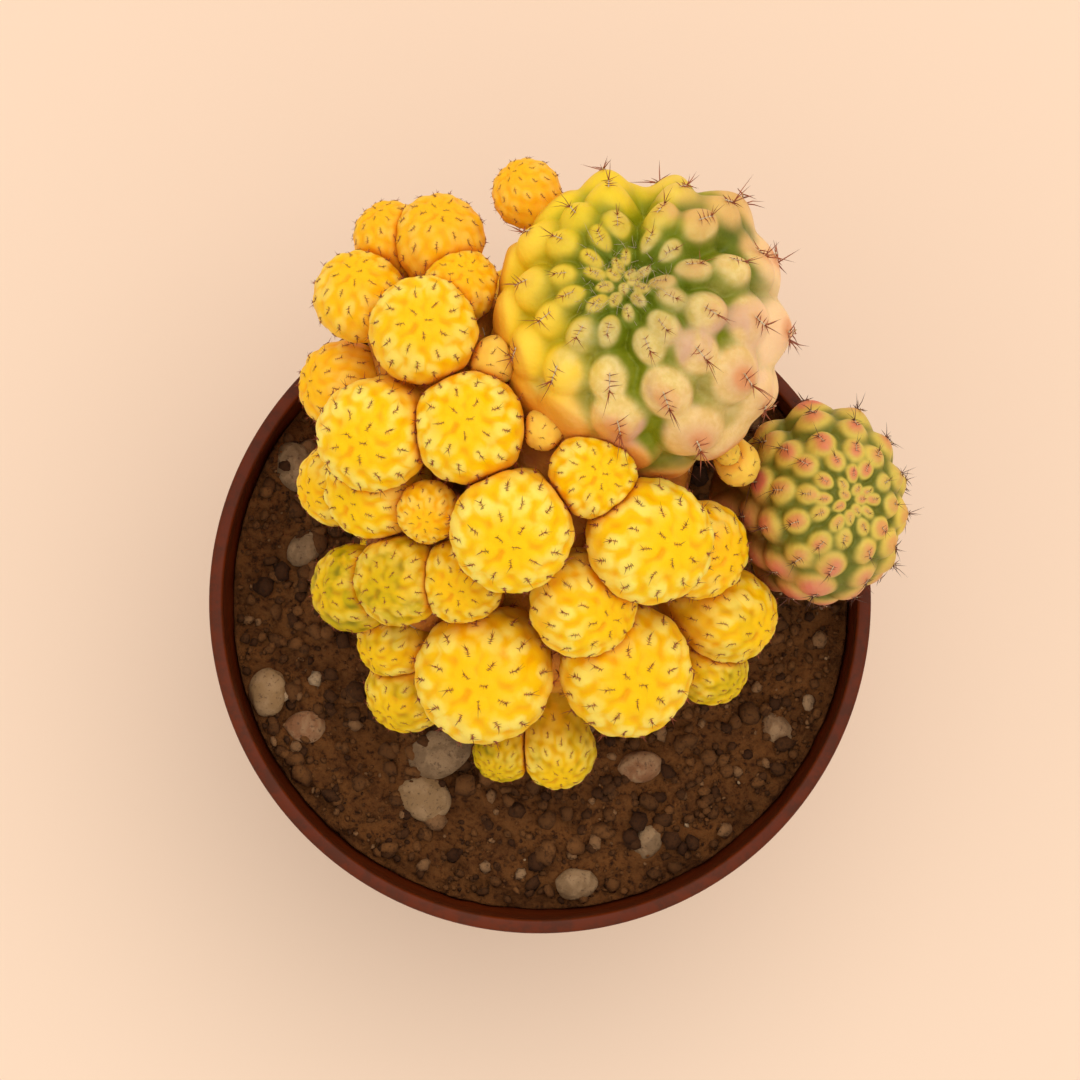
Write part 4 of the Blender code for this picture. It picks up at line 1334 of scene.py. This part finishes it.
def pot_plastic():
    """Red-brown plastic: fine moulding grain, dusty water marks low down, and soil rubbed onto the lip."""
    tree = Tree("red_brown_plastic")
    height = tree.axis("Z")
    cloud = tree.noise(0.012, detail=4.0, warp=0.8)
    grain = tree.noise(0.0005, detail=3.0)
    scuff = tree.noise(0.003, detail=5.0, roughness=0.7)
    tree.colour = tree.mix(cloud.smooth(0.35, 0.65), (95, 34, 6), (101, 38, 8))
    dust = (scuff * 0.6 + height * -9.0).smooth(-0.15, 0.55)
    tree.over(dust * 0.12, (150, 104, 76))
    lip = height.smooth(0.0715, 0.0752) * scuff.smooth(0.4, 0.62)
    tree.over(lip * 0.55, (62, 34, 20))
    bump = tree.bump(grain * 0.6 + scuff * 0.4, 0.00012, 0.25)
    return tree.rough_finish(0.38 + scuff * 0.16, 0.15, bump)


pot_mesh = cut_holes(turned_mesh("pot_wall", pot_profile(), POT_COLUMNS, POT_WOBBLE), "pot_wall")
show("pot_wall", pot_mesh, pot_plastic(), ["pot"])
print("pot faces:", len(pot_mesh.polygons))

# %% [markdown]
# ## The soil
#
# The mix is dark peat with grit. Its surface is a disc of rings whose height is slow waves and three sizes of
# lattice noise, so it has clods and pores rather than a smooth lid. It is closed below, inside the pot.

# %% Soil surface
SOIL_TOP = 0.0672
SOIL_RINGS, SOIL_COLUMNS = 150, 420
WAVE = 0.0005
NOISES = ((0.01, 0.0060, 31, 0.0008), (0.0, 0.0022, 32, 0.0007), (0.0, 0.0008, 33, 0.0003))
SOIL_EDGE_DIP = 0.0006
PLUG_LEVELS = (0.060, 0.040, 0.020, 0.0020)


def wave_height(x, y):
    """The slow waves of the soil that the pebbles and the plant are set to."""
    wave = np.sin(230.0 * x + 1.0) * np.cos(190.0 * y - 0.4) + 0.6 * np.sin(330.0 * (x + y))
    return SOIL_TOP + WAVE * wave


def soil_height(x, y):
    """The slow waves, and on them clods of 6 mm, lumps of 2.2 mm and grains of 0.8 mm."""
    height = wave_height(x, y)
    for shift, size, seed, amount in NOISES:
        height = height + rough(x + shift, y, size, seed) * amount
    return height


def inner_radius(height):
    """Radius of the pot's inner wall at a height."""
    return BASE_RADIUS + WALL_LEAN * height - WALL


def soil_points():
    """Rings from the middle to the wall at soil height, then down inside the wall and in along the floor."""
    around = np.arange(SOIL_COLUMNS) * TURN / SOIL_COLUMNS
    edge = inner_radius(SOIL_TOP - 0.002) - 0.0001
    share = np.linspace(0.0, 1.0, SOIL_RINGS + 1)[1:, None]
    x, y = edge * share * np.cos(around), edge * share * np.sin(around)
    height = soil_height(x, y) - SOIL_EDGE_DIP * np.linspace(0.0, 1.0, SOIL_RINGS)[:, None] ** 12
    rows = [np.stack([x, y, height], axis=-1)]
    for level in PLUG_LEVELS:
        radius = inner_radius(level) - 0.0002
        low = np.full(SOIL_COLUMNS, level)
        rows.append(np.stack([radius * np.cos(around), radius * np.sin(around), low], axis=-1)[None])
    grid = np.concatenate(rows)
    middle = [[0.0, 0.0, float(soil_height(np.zeros(1), np.zeros(1))[0])]]
    points = np.concatenate([middle, grid.reshape(-1, 3), [[0.0, 0.0, PLUG_LEVELS[-1]]]])
    return points, ball_faces(len(grid), SOIL_COLUMNS)


def peat():
    """Brown clods with paler grains and dark pores."""
    tree = Tree("dark_peat")
    clod = tree.noise(0.004, detail=4.0, roughness=0.6)
    grain = tree.noise(0.0009, detail=5.0, roughness=0.7)
    tree.colour = tree.mix(clod.smooth(0.35, 0.65), (84, 46, 18), (114, 68, 30))
    tree.over(grain.smooth(0.35, 0.7) * 0.6, (124, 80, 42))
    tree.over(grain.smooth(0.5, 0.3), (46, 24, 10))
    return tree.rough_finish(0.95, 0.15, tree.bump(grain, 0.0006, 0.9))


points, faces = soil_points()
show("soil_surface", make_mesh("soil_surface", points, faces), peat(), ["soil"])
print("soil faces:", sum(len(part) for part in faces))

# %% [markdown]
# ## Crumbs and grit
#
# Loose crumbs lie on the soil: small uneven balls, most under a millimetre and a few of three, each with a
# shade of its own. One in ten is grit.

# %% Crumbs and grit on the soil
CRUMBS = 3600
SMALLEST_CRUMB, LARGEST_CRUMB = 0.00022, 0.0016
SMALL_SHARE = 2.2
CRUMB_SINK = 0.25
CRUMB_HALF, CRUMB_UNEVENNESS = (0.6, 1.15), (0.72, 1.18)


def crumb_shapes(random):
    """Uneven balls (crumbs, points, 3), each turned, squashed and half sunk, small ones far more common."""
    share = random.uniform(0.0, 1.0, CRUMBS)
    size = SMALLEST_CRUMB * (LARGEST_CRUMB / SMALLEST_CRUMB) ** (share**SMALL_SHARE)
    reach = inner_radius(SOIL_TOP) - 0.0006 - size
    radius = reach * np.sqrt(random.uniform(0.0, 1.0, CRUMBS))
    around = random.uniform(0.0, TURN, CRUMBS)
    x, y = radius * np.cos(around), radius * np.sin(around)
    place = np.stack([x, y, soil_height(x, y) + CRUMB_SINK * size], axis=-1)
    half = size[:, None] * random.uniform(*CRUMB_HALF, (CRUMBS, 3))
    uneven = random.uniform(*CRUMB_UNEVENNESS, (CRUMBS, len(LUMP_RAYS)))
    local = LUMP_RAYS[None] * uneven[..., None] * half[:, None]
    first = unit(random.normal(size=(CRUMBS, 3)))
    second = unit(np.cross(first, random.normal(size=(CRUMBS, 3))))
    axes = np.stack([first, second, np.cross(first, second)], axis=1)
    return place[:, None] + local @ axes


def crumb_finish():
    """Brown by each crumb's own shade; the few with the most grit are tan, and fewer still are pale."""
    tree = Tree("peat_crumbs")
    shade, grit = tree.attributes("shade", "grit")
    grain = tree.noise(0.0006, detail=4.0, roughness=0.7)
    tree.colour = tree.mix(shade, (62, 34, 14), (120, 76, 38))
    tree.over(grit.smooth(0.90, 0.93), (140, 100, 64))
    tree.over(grit.smooth(0.985, 0.99), (178, 146, 110))
    tree.over(grain.smooth(0.5, 0.32) * 0.6, (34, 18, 8))
    return tree.rough_finish(0.9, 0.2, tree.bump(grain, 0.0003, 0.8))


random = np.random.default_rng(41)
crumbs = crumb_shapes(random)
values = {"shade": shades_of(crumbs, random), "grit": shades_of(crumbs, random)}
crumb_mesh = repeat_mesh("soil_crumbs", crumbs, LUMP_FACES, values)
show("soil_crumbs", crumb_mesh, crumb_finish())
print("crumbs:", CRUMBS)

# %% [markdown]
# ## The pebbles
#
# Ten river pebbles lie half in the soil. Each is a ball squashed to its half sizes, with broad bumps and a
# few flats, where a soft limit trims the ball as wear does. A tint attribute picks tan, grey-pink or
# orange-brown, and noise gives it grain and darker specks. The table has the place, the half sizes in
# millimetres, the turn in degrees and the tint.

# %% Pebbles
STONES = [
    ((-35.3, -11.6), (3.2, 2.4, 2.0), 75, 0.15),
    ((-31.8, 17.6), (3.4, 2.6, 1.9), 110, 0.45),
    ((-30.6, 7.0), (2.8, 2.0, 1.7), 40, 0.55),
    ((-30.5, -16.2), (2.6, 2.2, 1.6), 10, 0.95),
    ((-13.0, -19.5), (4.2, 3.0, 2.1), 25, 0.50),
    ((-14.8, -25.4), (3.6, 2.9, 1.9), 150, 0.30),
    ((13.0, -21.4), (2.9, 2.2, 1.6), 15, 0.90),
    ((14.0, -31.2), (2.2, 1.8, 1.4), 60, 0.60),
    ((4.6, -36.6), (2.6, 2.0, 1.5), 5, 0.40),
    ((31.0, -16.5), (2.4, 1.8, 1.5), 130, 0.70),
]
STONE_GRID, STONE_SEED = (56, 84), 70
BROAD_BUMPS, FINE_BUMPS = 0.07, 0.018
FLATS, FLAT_DISTANCE, FLAT_SOFTNESS = 6, 0.97, 0.03
STONE_LIFT = 0.0003


def stone_points(spot, half_sizes, turn, seed):
    """A squashed ball with broad bumps, trimmed by six soft flats, turned about Z and set in the soil."""
    rays = ball_rays(*STONE_GRID)[1]
    bumps = BROAD_BUMPS * ripple(rays, seed, 5, 1.8), FINE_BUMPS * ripple(rays, seed + 50, 10, 6.0)
    reach = 1.0 + bumps[0] + bumps[1]
    flats = unit(np.random.default_rng(seed + 9).normal(size=(3, FLATS)).T)
    limit = FLAT_DISTANCE / np.maximum(rays @ flats.T, 0.05)
    excess = np.log1p(np.exp((reach[:, None] - limit) / FLAT_SOFTNESS)).sum(axis=1)
    local = rays * (reach - FLAT_SOFTNESS * excess)[:, None] * np.multiply(half_sizes, MM)
    cosine, sine = math.cos(math.radians(turn)), math.sin(math.radians(turn))
    x, y = np.multiply(spot, MM)
    height = float(wave_height(np.array([x]), np.array([y]))[0])
    east = x + local[:, 0] * cosine - local[:, 1] * sine
    north = y + local[:, 0] * sine + local[:, 1] * cosine
    return np.stack([east, north, height + STONE_LIFT + local[:, 2]], axis=-1)


def pebble():
    """Tan to orange-brown by the stone's tint, clouded, with dark specks."""
    tree = Tree("pebble")
    tint = tree.attribute("tint")
    cloud = tree.noise(0.0022, detail=4.0, warp=0.6)
    speck = tree.noise(0.0005, detail=3.0, roughness=0.7)
    tree.colour = tree.mix(tint.smooth(0.2, 0.5), (152, 116, 74), (128, 98, 66))
    tree.over(tint.smooth(0.6, 0.9), (140, 92, 56))
    tree.over(cloud.smooth(0.4, 0.65) * 0.5, (182, 146, 106))
    tree.over(speck.smooth(0.56, 0.68) * 0.7, (84, 56, 38))
    return tree.rough_finish(0.62 + cloud * 0.25, 0.35, tree.bump(speck + cloud, 0.0003, 0.6))


PEBBLE = pebble()
for index, (spot, half_sizes, turn, tint) in enumerate(STONES):
    name = f"stone_{index + 1}"
    points = stone_points(spot, half_sizes, turn, STONE_SEED + index)
    mesh = make_mesh(name + "_pebble", points, ball_faces(*STONE_GRID), {"tint": np.full(len(points), tint)})
    show(name + "_pebble", mesh, PEBBLE, [name])
print("pebbles:", len(STONES))
